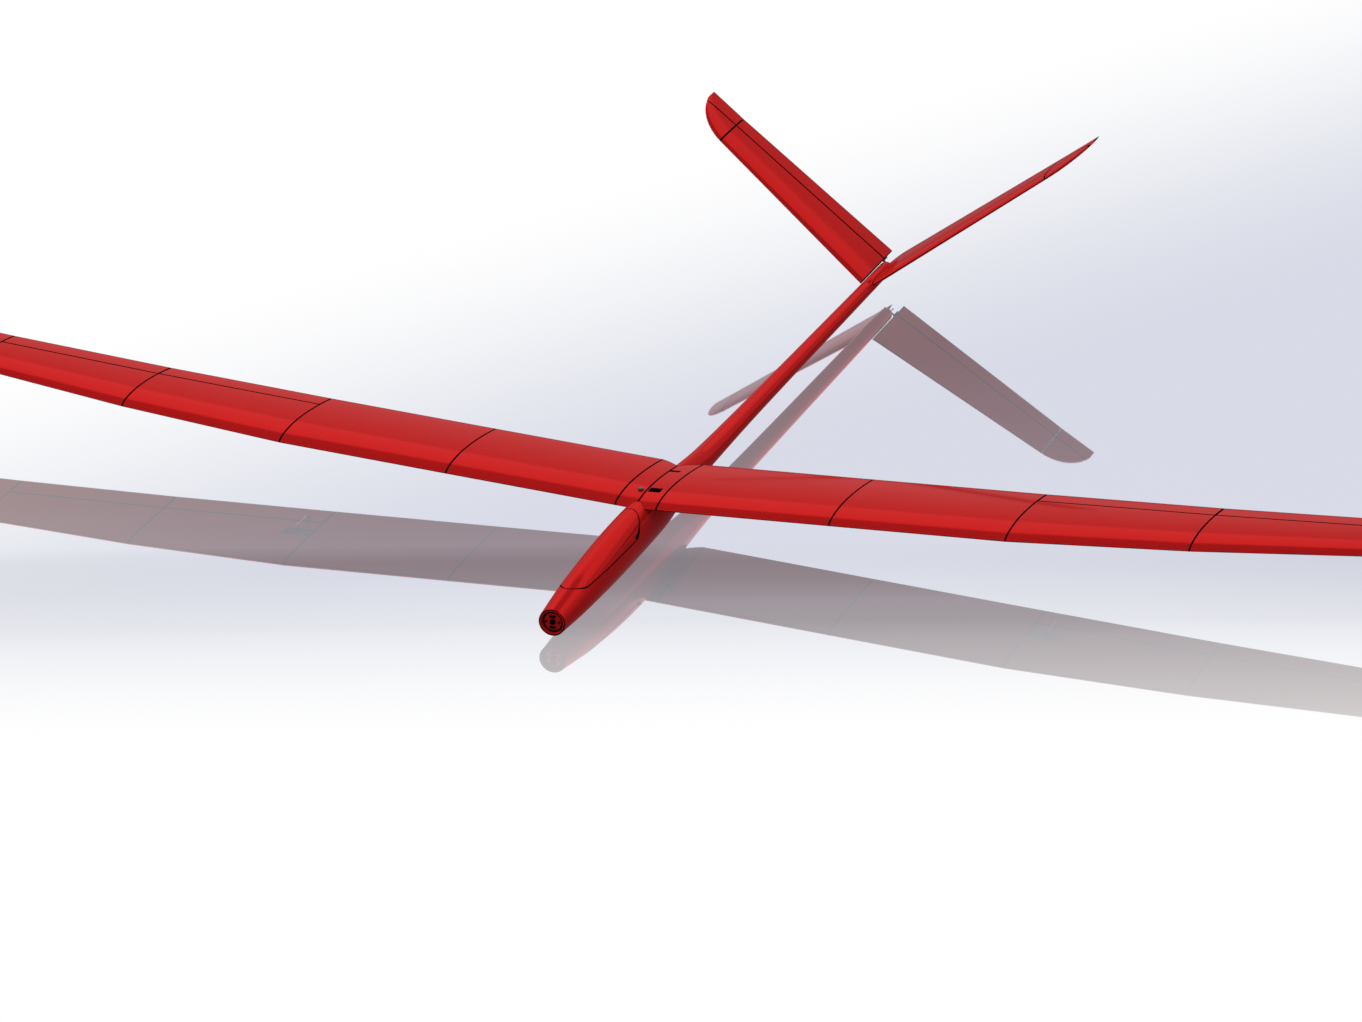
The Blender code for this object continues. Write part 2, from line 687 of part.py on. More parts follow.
def tip_ring(x, start, chord):
    z = WING_LE_Z + abs(x) * math.tan(DIHEDRAL)
    points = []
    steps = cosine_steps(0.0, 1.0, SECTION_POINTS)
    for surface, order in ((1, list(reversed(steps))), (-1, steps[1:])):
        for u in order:
            half = half_thickness(u, WING_THICKNESS) * chord + u * TRAILING_EDGE / 2
            rise = camber_line(u) * chord + surface * half
            y = start + u * chord * math.cos(INCIDENCE) + rise * math.sin(INCIDENCE)
            points.append(world(x, y, z - u * chord * math.sin(INCIDENCE) + rise * math.cos(INCIDENCE)))
    return points


# ---------------------------------------------------------------- ailerons and their drive

def aileron_ring(x):
    """Control surface section: a wedge whose point is on the hinge line, then the skin to the back."""
    chord = wing_station(x)[2]
    hinge = hinge_share(x)
    half = half_thickness(hinge, WING_THICKNESS)
    shoulder = hinge + half * math.tan(AILERON_WEDGE)
    steps = cosine_steps(shoulder, 1.0, 4, False)
    apex = surface_point(x, hinge, 0)
    top = [surface_point(x, u, 1) for u in steps]
    bottom = [surface_point(x, u, -1) for u in reversed(steps)]
    return [world(*point) for point in [apex] + top + bottom]


def horn_x(side):
    return side * (station_x(3) + BAY_INSET + BAY_CLEARANCE + SERVO_HEIGHT + GAP + ARM_THICKNESS / 2)


def build_ailerons():
    for side, word in SIDES.items():
        for number, place in ((3, "inner"), (4, "outer")):
            inner = station_x(number) + AILERON_END_GAP
            outer = station_x(number + 1) - AILERON_END_GAP
            rings = [aileron_ring(side * x) for x in (inner, outer)]
            surface = loft(f"aileron_{place}_{word}", rings, red_shell(), 25.0)
            pieces = [surface]
            if place == "inner":
                pieces.append(build_aileron_horn(side, word))
            ride_on(f"aileron_{place}_{word}_hinge", world(*hinge_point(side, number)), pieces)


def plate(name, x, half, outline, surface):
    """Flat plate across the span with an outline of (y, z) points."""
    rings = [[world(at, y, z) for y, z in outline] for at in (x - half, x + half)]
    return loft(name, rings, surface, None)


def arm_outline(hub, tip, hub_radius, tip_radius):
    """Two arcs joined by straight flanks: a lever seen from its side."""
    hub, tip = Vector(hub), Vector(tip)
    along = (tip - hub).normalized()
    across = Vector((-along.y, along.x))
    points = []
    for centre, radius, start in ((hub, hub_radius, math.pi / 2), (tip, tip_radius, -math.pi / 2)):
        for k in range(7):
            a = start + math.pi * k / 6
            points.append(centre + (along * math.cos(a) + across * math.sin(a)) * radius)
    return [(point.x, point.y) for point in points]


def aileron_linkage(side):
    """Hinge, horn hole, servo shaft and arm hole of the aileron drive, as (y, z)."""
    x = horn_x(side)
    _, hinge_y, hinge_z = surface_point(x, hinge_share(x), 0)
    shaft_y = BAY_START_Y + BAY_CLEARANCE + SERVO_LENGTH - SERVO_SHAFT_INSET
    shaft_z = skin_height(x, shaft_y, 1) - SKIN - SERVO_CLEARANCE - SERVO_THICKNESS / 2
    reach = WING_ARM_LENGTH
    return (hinge_y, hinge_z), (hinge_y, hinge_z - reach), (shaft_y, shaft_z), (shaft_y, shaft_z - reach)


def build_aileron_horn(side, word):
    x = horn_x(side)
    (hinge_y, hinge_z), hole, _, _ = aileron_linkage(side)
    under = [(y, skin_height(x, y, -1) - GAP) for y in (hinge_y + foot for foot in HORN_FOOT)]
    neck = (hinge_y + HORN_NECK[0], hole[1] + HORN_NECK[1])
    tip = arm_outline(neck, hole, ARM_TIP_RADIUS, ARM_TIP_RADIUS)
    lower = sorted(point for point in tip if point[1] <= hole[1] + GAP / 10)
    outline = [under[0]] + lower + [under[1]]
    return plate(f"aileron_horn_{word}", x, ARM_THICKNESS / 2, outline, black_plastic())


def servo_bay_cutter(side, word):
    inner = station_x(3) + BAY_INSET
    skin = skin_height(inner, BAY_START_Y, -1)
    low, high = skin - CUT_MARGIN, skin + SKIN + BAY_DEPTH
    corner_a = (side * inner, BAY_START_Y, low)
    corner_b = (side * (inner + BAY_LENGTH), BAY_START_Y + BAY_WIDTH, high)
    lows = tuple(min(a, b) for a, b in zip(corner_a, corner_b))
    highs = tuple(max(a, b) for a, b in zip(corner_a, corner_b))
    return box(f"bay_{word}", lows, highs, red_shell())


def build_wing_servos():
    for side, word in SIDES.items():
        _, hole, shaft, arm_hole = aileron_linkage(side)
        inner = station_x(3) + BAY_INSET + BAY_CLEARANCE
        ends = sorted((side * inner, side * (inner + SERVO_HEIGHT)))
        z = shaft[1] - SERVO_THICKNESS / 2
        servo_front = BAY_START_Y + BAY_CLEARANCE
        box(f"wing_servo_{word}", (ends[0], servo_front, z),
            (ends[1], servo_front + SERVO_LENGTH, z + SERVO_THICKNESS), black_plastic())
        arm_x = horn_x(side)
        outline = arm_outline(shaft, arm_hole, ARM_HUB_RADIUS, ARM_TIP_RADIUS)
        arm = plate(f"wing_servo_arm_{word}", arm_x, ARM_THICKNESS / 2, outline, black_plastic())
        ride_on(f"wing_servo_{word}_shaft", world(arm_x, *shaft), [arm])
        rod_x = arm_x + side * (ARM_THICKNESS / 2 + GAP + ROD_END_RADIUS)
        start, end = (rod_x, *arm_hole), (rod_x, *hole)
        build_pushrod(f"aileron_pushrod_{word}", start, end)


def build_pushrod(name, start, end):
    """Wire with a thicker clevis at each end, lying beside the two holes it joins."""
    start, end = Vector(start), Vector(end)
    along = (end - start).normalized()
    neck = ROD_END_LENGTH + ROD_SHOULDER
    front = [(start - along * ROD_END_PAST, ROD_END_RADIUS), (start + along * ROD_END_LENGTH, ROD_END_RADIUS),
             (start + along * neck, ROD_RADIUS)]
    back = [(end - along * neck, ROD_RADIUS), (end - along * ROD_END_LENGTH, ROD_END_RADIUS),
            (end + along * ROD_END_PAST, ROD_END_RADIUS)]
    marks = front + back
    wire = rod(name, [mark[0] for mark in marks], [mark[1] for mark in marks], steel(), 8)
    ride_on(f"{name}_slide", world(*start), [wire])


# ---------------------------------------------------------------- spars, joiner and bolts

def build_spars():
    for side, word in SIDES.items():
        start, end = spar_point(side * 2.0), spar_point(side * SPAR_END_X)
        tube(f"wing_spar_{word}", start, end, SPAR_RADIUS, SPAR_WALL, carbon())
        start = outer_spar_point(side * OUTER_SPAR_START_X)
        end = outer_spar_point(side * OUTER_SPAR_END_X)
        tube(f"outer_spar_{word}", start, end, OUTER_SPAR_RADIUS, OUTER_SPAR_WALL, carbon(), 12)
    radius = SPAR_RADIUS - SPAR_WALL - GAP
    places = [spar_point(x) for x in (-JOINER_HALF_LENGTH, 0.0, JOINER_HALF_LENGTH)]
    rod("wing_joiner", places, [radius] * 3, steel(), 16, Vector((1, 0, 0)))


def build_saddle():
    low = SADDLE_TOP_Z - SADDLE_THICKNESS
    half = SADDLE_HALF_WIDTH
    saddle = box("wing_saddle", (-half, SADDLE_START_Y, low), (half, SADDLE_END_Y, SADDLE_TOP_Z), plywood())
    for name, (x, y), radius in (("drill_saddle_front", FRONT_BOLT, BOLT_RADIUS + GAP),
                                 ("drill_saddle_rear", REAR_BOLT, REAR_SCREW_RADIUS + GAP)):
        ends = [(x, y, low - CUT_MARGIN), (x, y, SADDLE_TOP_Z + CUT_MARGIN)]
        cut(saddle, rod(name, ends, [radius] * 2, plywood(), 16))
    seat_gap = GAP + HEAD_CLEARANCE
    end = low - BOLT_END_DROP
    x, y = FRONT_BOLT
    seat = skin_height(x, y, 1) + seat_gap + BOLT_HEAD_RADIUS * math.tan(DIHEDRAL)
    build_bolt("wing_bolt_front", (x, y), (end, seat, seat + BOLT_HEAD_HEIGHT), BOLT_RADIUS, BOLT_HEAD_RADIUS)
    x, y = REAR_BOLT
    seat = pocket_heights(x, y, REAR_POCKET_DEPTH)[0] + seat_gap
    build_bolt("wing_bolt_rear", (x, y), (end, seat, seat + REAR_SCREW_HEAD_HEIGHT), REAR_SCREW_RADIUS,
               REAR_SCREW_HEAD_RADIUS)


def build_bolt(name, place, heights, radius, head_radius):
    """Upright bolt: the heights are its end, the seat of its head and its top."""
    end, seat, top = heights
    points = [(*place, z) for z in (end, seat, seat, top)]
    rod(name, points, [radius, radius, head_radius, head_radius], black_plastic(), 16)


# ---------------------------------------------------------------- V-tail

def fin_point(side, s, y, n):
    """Place in a fin's own frame: s along the fin, n along its upper normal."""
    c, t = math.cos(FIN_ANGLE), math.sin(FIN_ANGLE)
    return side * (s * c - n * t), y, FIN_APEX_Z + s * t + n * c


def fin_station(s):
    """Leading edge y, chord and hinge y of the fin at a distance along it."""
    t = (s - FIN_ROOT_S) / (FIN_JOINT_S - FIN_ROOT_S)
    trailing_root = FIN_ROOT_LE_Y + FIN_ROOT_CHORD
    trailing_joint = FIN_JOINT_LE_Y + FIN_JOINT_CHORD
    hinge = (trailing_root - RUDDER_ROOT_CHORD) * (1 - t) + (trailing_joint - RUDDER_JOINT_CHORD) * t
    if s <= FIN_JOINT_S:
        leading = FIN_ROOT_LE_Y * (1 - t) + FIN_JOINT_LE_Y * t
        trailing = trailing_root * (1 - t) + trailing_joint * t
        return leading, trailing - leading, hinge
    out = (s - FIN_JOINT_S) / (FIN_TIP_S - FIN_JOINT_S)
    trailing = trailing_joint * (1 - out) + FIN_TIP_TE_Y * out
    share = math.sqrt(max(1 - out**FIN_ROUNDING, 0.0))
    leading = trailing - (FIN_JOINT_CHORD - FIN_END_CHORD * out) * share
    return leading, trailing - leading, hinge


def fin_half(u, chord):
    return half_thickness(u, FIN_THICKNESS) * chord + u * TRAILING_EDGE / 2


def fixed_fin_ring(side, s):
    leading, chord, hinge = fin_station(s)
    end = (hinge - HINGE_GAP - leading) / chord
    steps = cosine_steps(0.0, end, 9)
    points = [(u, 1) for u in reversed(steps)] + [(u, -1) for u in steps[1:]]
    return [world(*fin_point(side, s, leading + u * chord, face * fin_half(u, chord)))
            for u, face in points]


def ruddervator_ring(side, s):
    leading, chord, hinge = fin_station(s)
    start = max((hinge - leading) / chord, 0.0)
    half = fin_half(start, chord)
    shoulder = start + half * math.tan(RUDDER_WEDGE) / chord
    steps = cosine_steps(shoulder, 1.0, 3, False)
    points = [(start, 0)] + [(u, 1) for u in steps] + [(u, -1) for u in reversed(steps)]
    return [world(*fin_point(side, s, leading + u * chord, face * fin_half(u, chord)))
            for u, face in points]


def fin_tip_end():
    """Distance along the fin where the rounded leading edge meets the hinge line."""
    s = FIN_JOINT_S
    while fin_station(s)[0] < fin_station(s)[2] - FIN_TIP_MIN_WIDTH:
        s += 0.25
    return s


def build_tail():
    root, joint = FIN_ROOT_S, FIN_JOINT_S
    tip_end = fin_tip_end()
    for side, word in SIDES.items():
        loft(f"fin_{word}", [fixed_fin_ring(side, s) for s in (root, joint - GAP / 2)], red_shell(), 25.0)
        span = tip_end - joint
        steps = [joint + GAP / 2] + [joint + span * share for share in FIN_TIP_STEPS]
        loft(f"fin_tip_{word}", [fixed_fin_ring(side, s) for s in steps], red_shell(), 25.0)
        surface = loft(f"ruddervator_{word}", [ruddervator_ring(side, s) for s in (root, joint - GAP / 2)],
                       red_shell(), 25.0)
        span = FIN_TIP_S - joint
        steps = [joint + GAP / 2] + [joint + span * share for share in RUDDER_TIP_STEPS]
        tip = loft(f"ruddervator_tip_{word}", [ruddervator_ring(side, s) for s in steps], red_shell(), 25.0)
        horn = build_ruddervator_horn(side, word)
        pivot = world(*fin_point(side, root, fin_station(root)[2], 0.0))
        ride_on(f"ruddervator_{word}_hinge", pivot, [surface, tip, horn])


def build_ruddervator_horn(side, word):
    """Torque bar on the hinge line with a flange on the surface's root and a lever at its inner end."""
    hinge = fin_station(FIN_ROOT_S)[2]
    flange_s = FIN_ROOT_S - GAP - HORN_PLATE_HALF
    bar_ends = (HORN_S - HORN_PLATE_HALF, flange_s - HORN_PLATE_HALF / 4)
    bar_points = [fin_point(side, s, hinge, 0.0) for s in bar_ends]
    bar = rod(f"ruddervator_horn_{word}", bar_points, [HORN_BAR_RADIUS] * 2, black_plastic(), 12)
    lever_shape = arm_outline((hinge, 0.0), (hinge, -HORN_RADIUS), HORN_HUB_RADIUS, ARM_TIP_RADIUS)
    lever = lever_plate(f"lever_{word}", side, HORN_S, HORN_PLATE_HALF, lever_shape)
    flange_end = (hinge + HORN_FLANGE_LENGTH, 0.0)
    flange_shape = arm_outline((hinge, 0.0), flange_end, HORN_HUB_RADIUS, HORN_FLANGE_TIP_RADIUS)
    flange = lever_plate(f"flange_{word}", side, flange_s, HORN_PLATE_HALF, flange_shape)
    for extra in (lever, flange):
        cut(bar, extra, "UNION")
    return bar


def lever_plate(name, side, s, half, outline):
    """Plate square to the fin's span, with an outline of (y, n) points."""
    rings = [[world(*fin_point(side, at, y, n)) for y, n in outline] for at in (s - half, s + half)]
    return loft(name, rings, black_plastic(), None)


def build_tail_mount():
    """Plug into the boom and stub with a flat on each upper side, where the fins sit."""
    _, centre, radius = fuselage_section(BOOM_END_Y)
    start = BOOM_END_Y
    plug = radius - FUSELAGE_WALL - GAP
    places = [(start - TAIL_PLUG_LENGTH, plug), (start + GAP, plug), (start + GAP, radius),
              *((TAIL_MOUNT_END_Y - ahead, radius - less) for ahead, less in TAIL_MOUNT_TAPER)]
    mount = rod("tail_mount", [(0, y, centre) for y, _ in places], [r for _, r in places], red_shell(), 28)
    for side, word in SIDES.items():
        reach = 2 * radius
        corners = ((TAIL_MOUNT_FLAT, -reach), (TAIL_MOUNT_FLAT + reach, -reach),
                   (TAIL_MOUNT_FLAT + reach, reach), (TAIL_MOUNT_FLAT, reach))
        rings = [[world(*fin_point(side, s, y, n)) for s, n in corners]
                 for y in (start - CUT_MARGIN, TAIL_MOUNT_END_Y + CUT_MARGIN)]
        cut(mount, loft(f"flat_{word}", rings, red_shell(), None))
        x, _, z = tail_rod_line(side)
        channel = [(x, start - TAIL_PLUG_LENGTH - CUT_MARGIN, z), (x, TAIL_MOUNT_END_Y + CUT_MARGIN, z)]
        cut(mount, rod(f"channel_{word}", channel, [ROD_END_RADIUS + GAP] * 2, red_shell(), 12))


def tail_rod_line(side):
    """Height and side of the tail pushrod: it passes the horn's hole."""
    return fin_point(side, HORN_S, fin_station(FIN_ROOT_S)[2], -HORN_RADIUS)


# ---------------------------------------------------------------- radio gear

def build_radio():
    tray_low = TRAY_TOP_Z - TRAY_THICKNESS
    box("radio_tray", (-TRAY_HALF_WIDTH, TRAY_START_Y, tray_low), (TRAY_HALF_WIDTH, TRAY_END_Y, TRAY_TOP_Z),
        plywood())
    floor = TRAY_TOP_Z + GAP
    for name, (half, front, back, height), surface in (("battery_pack", BATTERY, steel()),
                                                       ("receiver", RECEIVER, black_plastic())):
        box(name, (-half, front, floor), (half, back, floor + height), surface)
    for side, word in SIDES.items():
        x, horn_y, z = tail_rod_line(side)
        arm_x = x - side * (ROD_END_RADIUS + GAP + ARM_THICKNESS / 2)
        face = arm_x - side * (ARM_THICKNESS / 2 + GAP)
        ends = sorted((face, face - side * SERVO_HEIGHT))
        front = TAIL_SERVO_Y[side]
        corner = (ends[1], front + SERVO_LENGTH, floor + SERVO_THICKNESS)
        box(f"tail_servo_{word}", (ends[0], front, floor), corner, black_plastic())
        shaft = (front + SERVO_SHAFT_INSET, floor + SERVO_THICKNESS / 2)
        outline = arm_outline(shaft, (shaft[0], z), ARM_HUB_RADIUS, ARM_TIP_RADIUS)
        arm = plate(f"tail_servo_arm_{word}", arm_x, ARM_THICKNESS / 2, outline, black_plastic())
        ride_on(f"tail_servo_{word}_shaft", world(arm_x, *shaft), [arm])
        rod_end = horn_y - ARM_TIP_RADIUS - TAIL_ROD_SHORT
        build_pushrod(f"tail_pushrod_{word}", (x, shaft[0], z), (x, rod_end, z))


def main():
    for existing in list(bpy.data.objects):
        bpy.data.objects.remove(existing, do_unlink=True)
    build_fuselage()
    build_hatch()
    build_hatch_frame()
    build_nose()
    build_wing_roots()
    build_panels()
    build_tips()
    build_ailerons()
    build_wing_servos()
    build_spars()
    build_saddle()
    build_tail()
    build_tail_mount()
    build_radio()


main()
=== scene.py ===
# %% [markdown]
# # A red sailplane with a V tail
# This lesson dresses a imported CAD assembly. The frame brings in every part at its real place, and each
# shell that shows is then drawn again with a finer skin. A model sailplane like this is printed in
# sections and glued on carbon tubes, so its look is a smooth glossy red, crossed by thin dark joints.

# %% Load the fixed frame
import json
import math

import bmesh
import bpy
from mathutils import Matrix, Vector


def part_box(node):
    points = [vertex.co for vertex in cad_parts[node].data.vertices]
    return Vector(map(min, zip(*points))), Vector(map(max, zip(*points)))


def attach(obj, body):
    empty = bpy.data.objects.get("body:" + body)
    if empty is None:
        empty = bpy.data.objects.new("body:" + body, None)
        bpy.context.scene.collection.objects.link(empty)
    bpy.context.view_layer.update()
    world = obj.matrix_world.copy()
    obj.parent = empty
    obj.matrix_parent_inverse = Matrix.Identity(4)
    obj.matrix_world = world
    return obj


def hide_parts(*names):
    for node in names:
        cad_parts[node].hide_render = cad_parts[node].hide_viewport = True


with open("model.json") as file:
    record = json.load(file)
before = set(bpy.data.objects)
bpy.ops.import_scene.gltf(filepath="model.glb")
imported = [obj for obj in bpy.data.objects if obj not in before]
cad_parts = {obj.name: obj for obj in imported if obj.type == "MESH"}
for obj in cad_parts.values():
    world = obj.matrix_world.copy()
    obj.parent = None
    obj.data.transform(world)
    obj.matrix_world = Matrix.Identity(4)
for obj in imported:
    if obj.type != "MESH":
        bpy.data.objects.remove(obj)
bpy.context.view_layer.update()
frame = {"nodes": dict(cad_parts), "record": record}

# %% [markdown]
# ## Where things are
# The parts were drawn in millimetres from the middle of the nose, so this script does the same. The nose
# ring tells where that point is in the frame, and the wing sections tell where the joints of the wing
# are. Left is +X, the tail is towards +Y.

# %% Places
MM = 0.001
GAP = 0.3
SIDES = {1: "left", -1: "right"}

nose_low, nose_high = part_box("nose_ring")
NOSE = Vector((0, nose_low.y, (nose_low.z + nose_high.z) / 2))


def place(x, y, z):
    """A point given in millimetres from the nose, in the frame's metres."""
    return NOSE + Vector((x, y, z)) * MM


JOINTS = [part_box(f"wing_panel_{number}_left")[0].x / MM - GAP / 2 for number in range(1, 6)]
JOINTS.append(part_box("wing_tip_left")[0].x / MM - GAP / 2)
TIP_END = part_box("wing_tip_left")[1].x / MM
print("wing joints at", [round(x, 1) for x in JOINTS], "tip at", round(TIP_END, 1))

# %% [markdown]
# ## Light, camera and floor
# A long lens a few metres away looks down on the model from the front left corner. The floor is a pale
# sheet, and the light is one wide soft box overhead in a pale sky. The sky has a brighter band half way
# up and is dark above it, so the gloss shows one light band along the front of each wing.

# %% Camera
CAMERA_PLACE = Vector((3.1302, -8.4860, 3.7317))
CAMERA_AZIMUTH = math.radians(20.78)
CAMERA_ELEVATION = math.radians(22.97)
CAMERA_ROLL = math.radians(-0.60)
LENS = 181.8

back = Vector((math.sin(CAMERA_AZIMUTH) * math.cos(CAMERA_ELEVATION),
               -math.cos(CAMERA_AZIMUTH) * math.cos(CAMERA_ELEVATION), math.sin(CAMERA_ELEVATION)))
right = Vector((math.cos(CAMERA_AZIMUTH), math.sin(CAMERA_AZIMUTH), 0.0))
up = back.cross(right)
turn = Matrix.Rotation(CAMERA_ROLL, 3, back)
axes = Matrix((turn @ right, turn @ up, back)).transposed()
lens = bpy.data.cameras.new("long_lens")
lens.lens = LENS
lens.sensor_width = 36.0
camera = bpy.data.objects.new("camera", lens)
camera.matrix_world = Matrix.Translation(CAMERA_PLACE) @ axes.to_4x4()
bpy.context.scene.collection.objects.link(camera)
bpy.context.scene.camera = camera
print("camera looks along", [round(value, 3) for value in -back])

# %% Helpers for shader nodes
def fill_ramp(ramp, stops):
    """Set a colour ramp from pairs of a place, 0 to 1, and a colour."""
    while len(ramp.elements) < len(stops):
        ramp.elements.new(0.5)
    for element, (position, colour) in zip(ramp.elements, stops):
        element.position = position
        element.color = (*colour, 1.0)


def map_range(nodes, links, value, start, end, to=(0.0, 1.0), smooth=True):
    """Map a value from start..end to another range, eased at both ends when smooth."""
    made = nodes.new("ShaderNodeMapRange")
    if smooth:
        made.interpolation_type = "SMOOTHSTEP"
    made.inputs["From Min"].default_value = start
    made.inputs["From Max"].default_value = end
    made.inputs["To Min"].default_value = to[0]
    made.inputs["To Max"].default_value = to[1]
    links.new(value, made.inputs["Value"])
    return made.outputs["Result"]


def combine(nodes, links, operation, *values, kind="ShaderNodeMath"):
    """Outputs of a math node that is fed by sockets and constants."""
    made = nodes.new(kind)
    made.operation = operation
    for socket, value in zip(made.inputs, values):
        if isinstance(value, bpy.types.NodeSocket):
            links.new(value, socket)
        else:
            socket.default_value = value
    return made.outputs


# %% Sky
world = bpy.data.worlds.new("studio")
bpy.context.scene.world = world
world.use_nodes = True
sky_nodes, sky_links = world.node_tree.nodes, world.node_tree.links
sky_nodes.clear()
direction = sky_nodes.new("ShaderNodeTexCoord")
split = sky_nodes.new("ShaderNodeSeparateXYZ")
bands = sky_nodes.new("ShaderNodeValToRGB")
backdrop = sky_nodes.new("ShaderNodeBackground")
sky_out = sky_nodes.new("ShaderNodeOutputWorld")
sky_links.new(direction.outputs["Generated"], split.inputs["Vector"])
sky_links.new(split.outputs["Z"], bands.inputs["Fac"])
sky_links.new(bands.outputs["Color"], backdrop.inputs["Color"])
sky_links.new(backdrop.outputs["Background"], sky_out.inputs["Surface"])
LOW_SKY, BAND_SKY = 0.8, 1.45
SKY_STOPS = ((0.0, (0.30, 0.27, 0.30)), (0.015, (LOW_SKY,) * 3), (0.395, (LOW_SKY,) * 3),
             (0.405, (BAND_SKY,) * 3), (0.66, (BAND_SKY,) * 3), (0.70, (0.05, 0.05, 0.055)))
fill_ramp(bands.color_ramp, SKY_STOPS)

# %% Soft box overhead
def soft_box(name, at, towards, size, power, gloss):
    """A square lamp that faces a point; gloss says how much of it shows in the reflections."""
    lamp = bpy.data.lights.new(name, "AREA")
    lamp.shape = "SQUARE"
    lamp.size = size
    lamp.energy = power
    lamp.specular_factor = gloss
    holder = bpy.data.objects.new(name, lamp)
    aim = (Vector(towards) - Vector(at)).to_track_quat("-Z", "Y")
    holder.matrix_world = Matrix.Translation(at) @ aim.to_matrix().to_4x4()
    holder.visible_camera = False
    holder.visible_glossy = gloss > 0
    bpy.context.scene.collection.objects.link(holder)


soft_box("overhead_box", (-1.0, -1.0, 5.0), (0, 0, 0), 4.0, 260.0, 0.0)

# %% [markdown]
# ## Floor
# The floor adds two things: a mirror, weak in front and strong behind the model, and just enough plain
# white to bring an empty stretch of it up to white. A pale blue haze covers the middle and the right, and
# fades out towards the back left and in the near front. Distances are in metres from the origin, along
# and across the main view.

# %% Floor
FLOOR_SIZE = 60.0
FLOOR_DROP = 0.0006
FLOOR_ROUGHNESS = 0.02
MIRROR_FRONT, MIRROR_BACK = -1.5, 0.6
MIRROR_STOPS = ((0.05, 0.0), (0.29, 0.29), (0.39, 0.36), (0.45, 0.46), (0.52, 0.75), (0.62, 0.86),
                (0.90, 1.0))
BAND_SEEN = (-0.62, -0.35)
HAZE_SLOPE = (0.45, -0.55, 0.0)
HAZE_RANGE = (-0.70, 0.05)
HAZE_NEAR = (-1.0, -0.35)
HAZE_COLOUR = (0.69, 0.71, 0.80, 1.0)
floor_mesh = bmesh.new()
bmesh.ops.create_grid(floor_mesh, x_segments=1, y_segments=1, size=FLOOR_SIZE)
bmesh.ops.translate(floor_mesh, vec=(0, 0, -FLOOR_DROP), verts=floor_mesh.verts)
floor_data = bpy.data.meshes.new("floor")
floor_mesh.to_mesh(floor_data)
floor_mesh.free()
floor = bpy.data.objects.new("floor", floor_data)
bpy.context.scene.collection.objects.link(floor)
floor.visible_diffuse = False
floor.visible_glossy = False


def floor_finish():
    """Pale sheet that mirrors the model at the back and fades to plain white at the front."""
    made = bpy.data.materials.new("pale_floor")
    made.use_nodes = True
    nodes, links = made.node_tree.nodes, made.node_tree.links
    nodes.clear()
    where = nodes.new("ShaderNodeTexCoord")
    turned = nodes.new("ShaderNodeMapping")
    turned.inputs["Rotation"].default_value = (0, 0, -CAMERA_AZIMUTH)
    parts = nodes.new("ShaderNodeSeparateXYZ")
    links.new(where.outputs["Object"], turned.inputs["Vector"])
    links.new(turned.outputs["Vector"], parts.inputs["Vector"])
    reach = map_range(nodes, links, parts.outputs["Y"], MIRROR_FRONT, MIRROR_BACK, smooth=False)
    share = nodes.new("ShaderNodeValToRGB")
    links.new(reach, share.inputs["Fac"])
    fill_ramp(share.color_ramp, [(position, (value,) * 3) for position, value in MIRROR_STOPS])
    across = combine(nodes, links, "DOT_PRODUCT", turned.outputs["Vector"], HAZE_SLOPE,
                     kind="ShaderNodeVectorMath")
    haze = map_range(nodes, links, across["Value"], *HAZE_RANGE)
    fade = map_range(nodes, links, parts.outputs["Y"], *HAZE_NEAR)
    near = combine(nodes, links, "MULTIPLY", haze, fade)
    tint = nodes.new("ShaderNodeMix")
    tint.data_type = "RGBA"
    tint.inputs["A"].default_value = (1.0, 1.0, 1.0, 1.0)
    tint.inputs["B"].default_value = HAZE_COLOUR
    links.new(near["Value"], tint.inputs["Factor"])
    seen = map_range(nodes, links, parts.outputs["Y"], *BAND_SEEN, (-BAND_SKY, -LOW_SKY), False)
    white = combine(nodes, links, "MULTIPLY_ADD", share.outputs["Color"], seen, 1.0)
    paper = nodes.new("ShaderNodeEmission")
    links.new(tint.outputs["Result"], paper.inputs["Color"])
    links.new(white["Value"], paper.inputs["Strength"])
    sheen = combine(nodes, links, "MULTIPLY", tint.outputs["Result"], share.outputs["Color"],
                    kind="ShaderNodeVectorMath")
    mirror = nodes.new("ShaderNodeBsdfGlossy")
    mirror.inputs["Roughness"].default_value = FLOOR_ROUGHNESS
    links.new(sheen["Vector"], mirror.inputs["Color"])
    blend = nodes.new("ShaderNodeAddShader")
    links.new(paper.outputs["Emission"], blend.inputs[0])
    links.new(mirror.outputs["BSDF"], blend.inputs[1])
    out = nodes.new("ShaderNodeOutputMaterial")
    links.new(blend.outputs["Shader"], out.inputs["Surface"])
    return made


floor_data.materials.append(floor_finish())
bpy.context.scene.view_settings.view_transform = "Standard"
print("floor", round(2 * FLOOR_SIZE), "m wide")

# %% [markdown]
# ## Finishes
# No real surface has one flat value: a printed and polished skin drifts a little in colour and gloss and
# keeps a faint ripple. Every finish here uses that, so it is one node group with its own values in each
# material. The group only gives colours and numbers, and the shader stays in the material.

# %% A group for the drift of a surface
def add_sockets(group, direction, sockets):
    for name, kind, value in sockets:
        socket = group.interface.new_socket(name=name, in_out=direction, socket_type=kind)
        if value is not None:
            socket.default_value = value


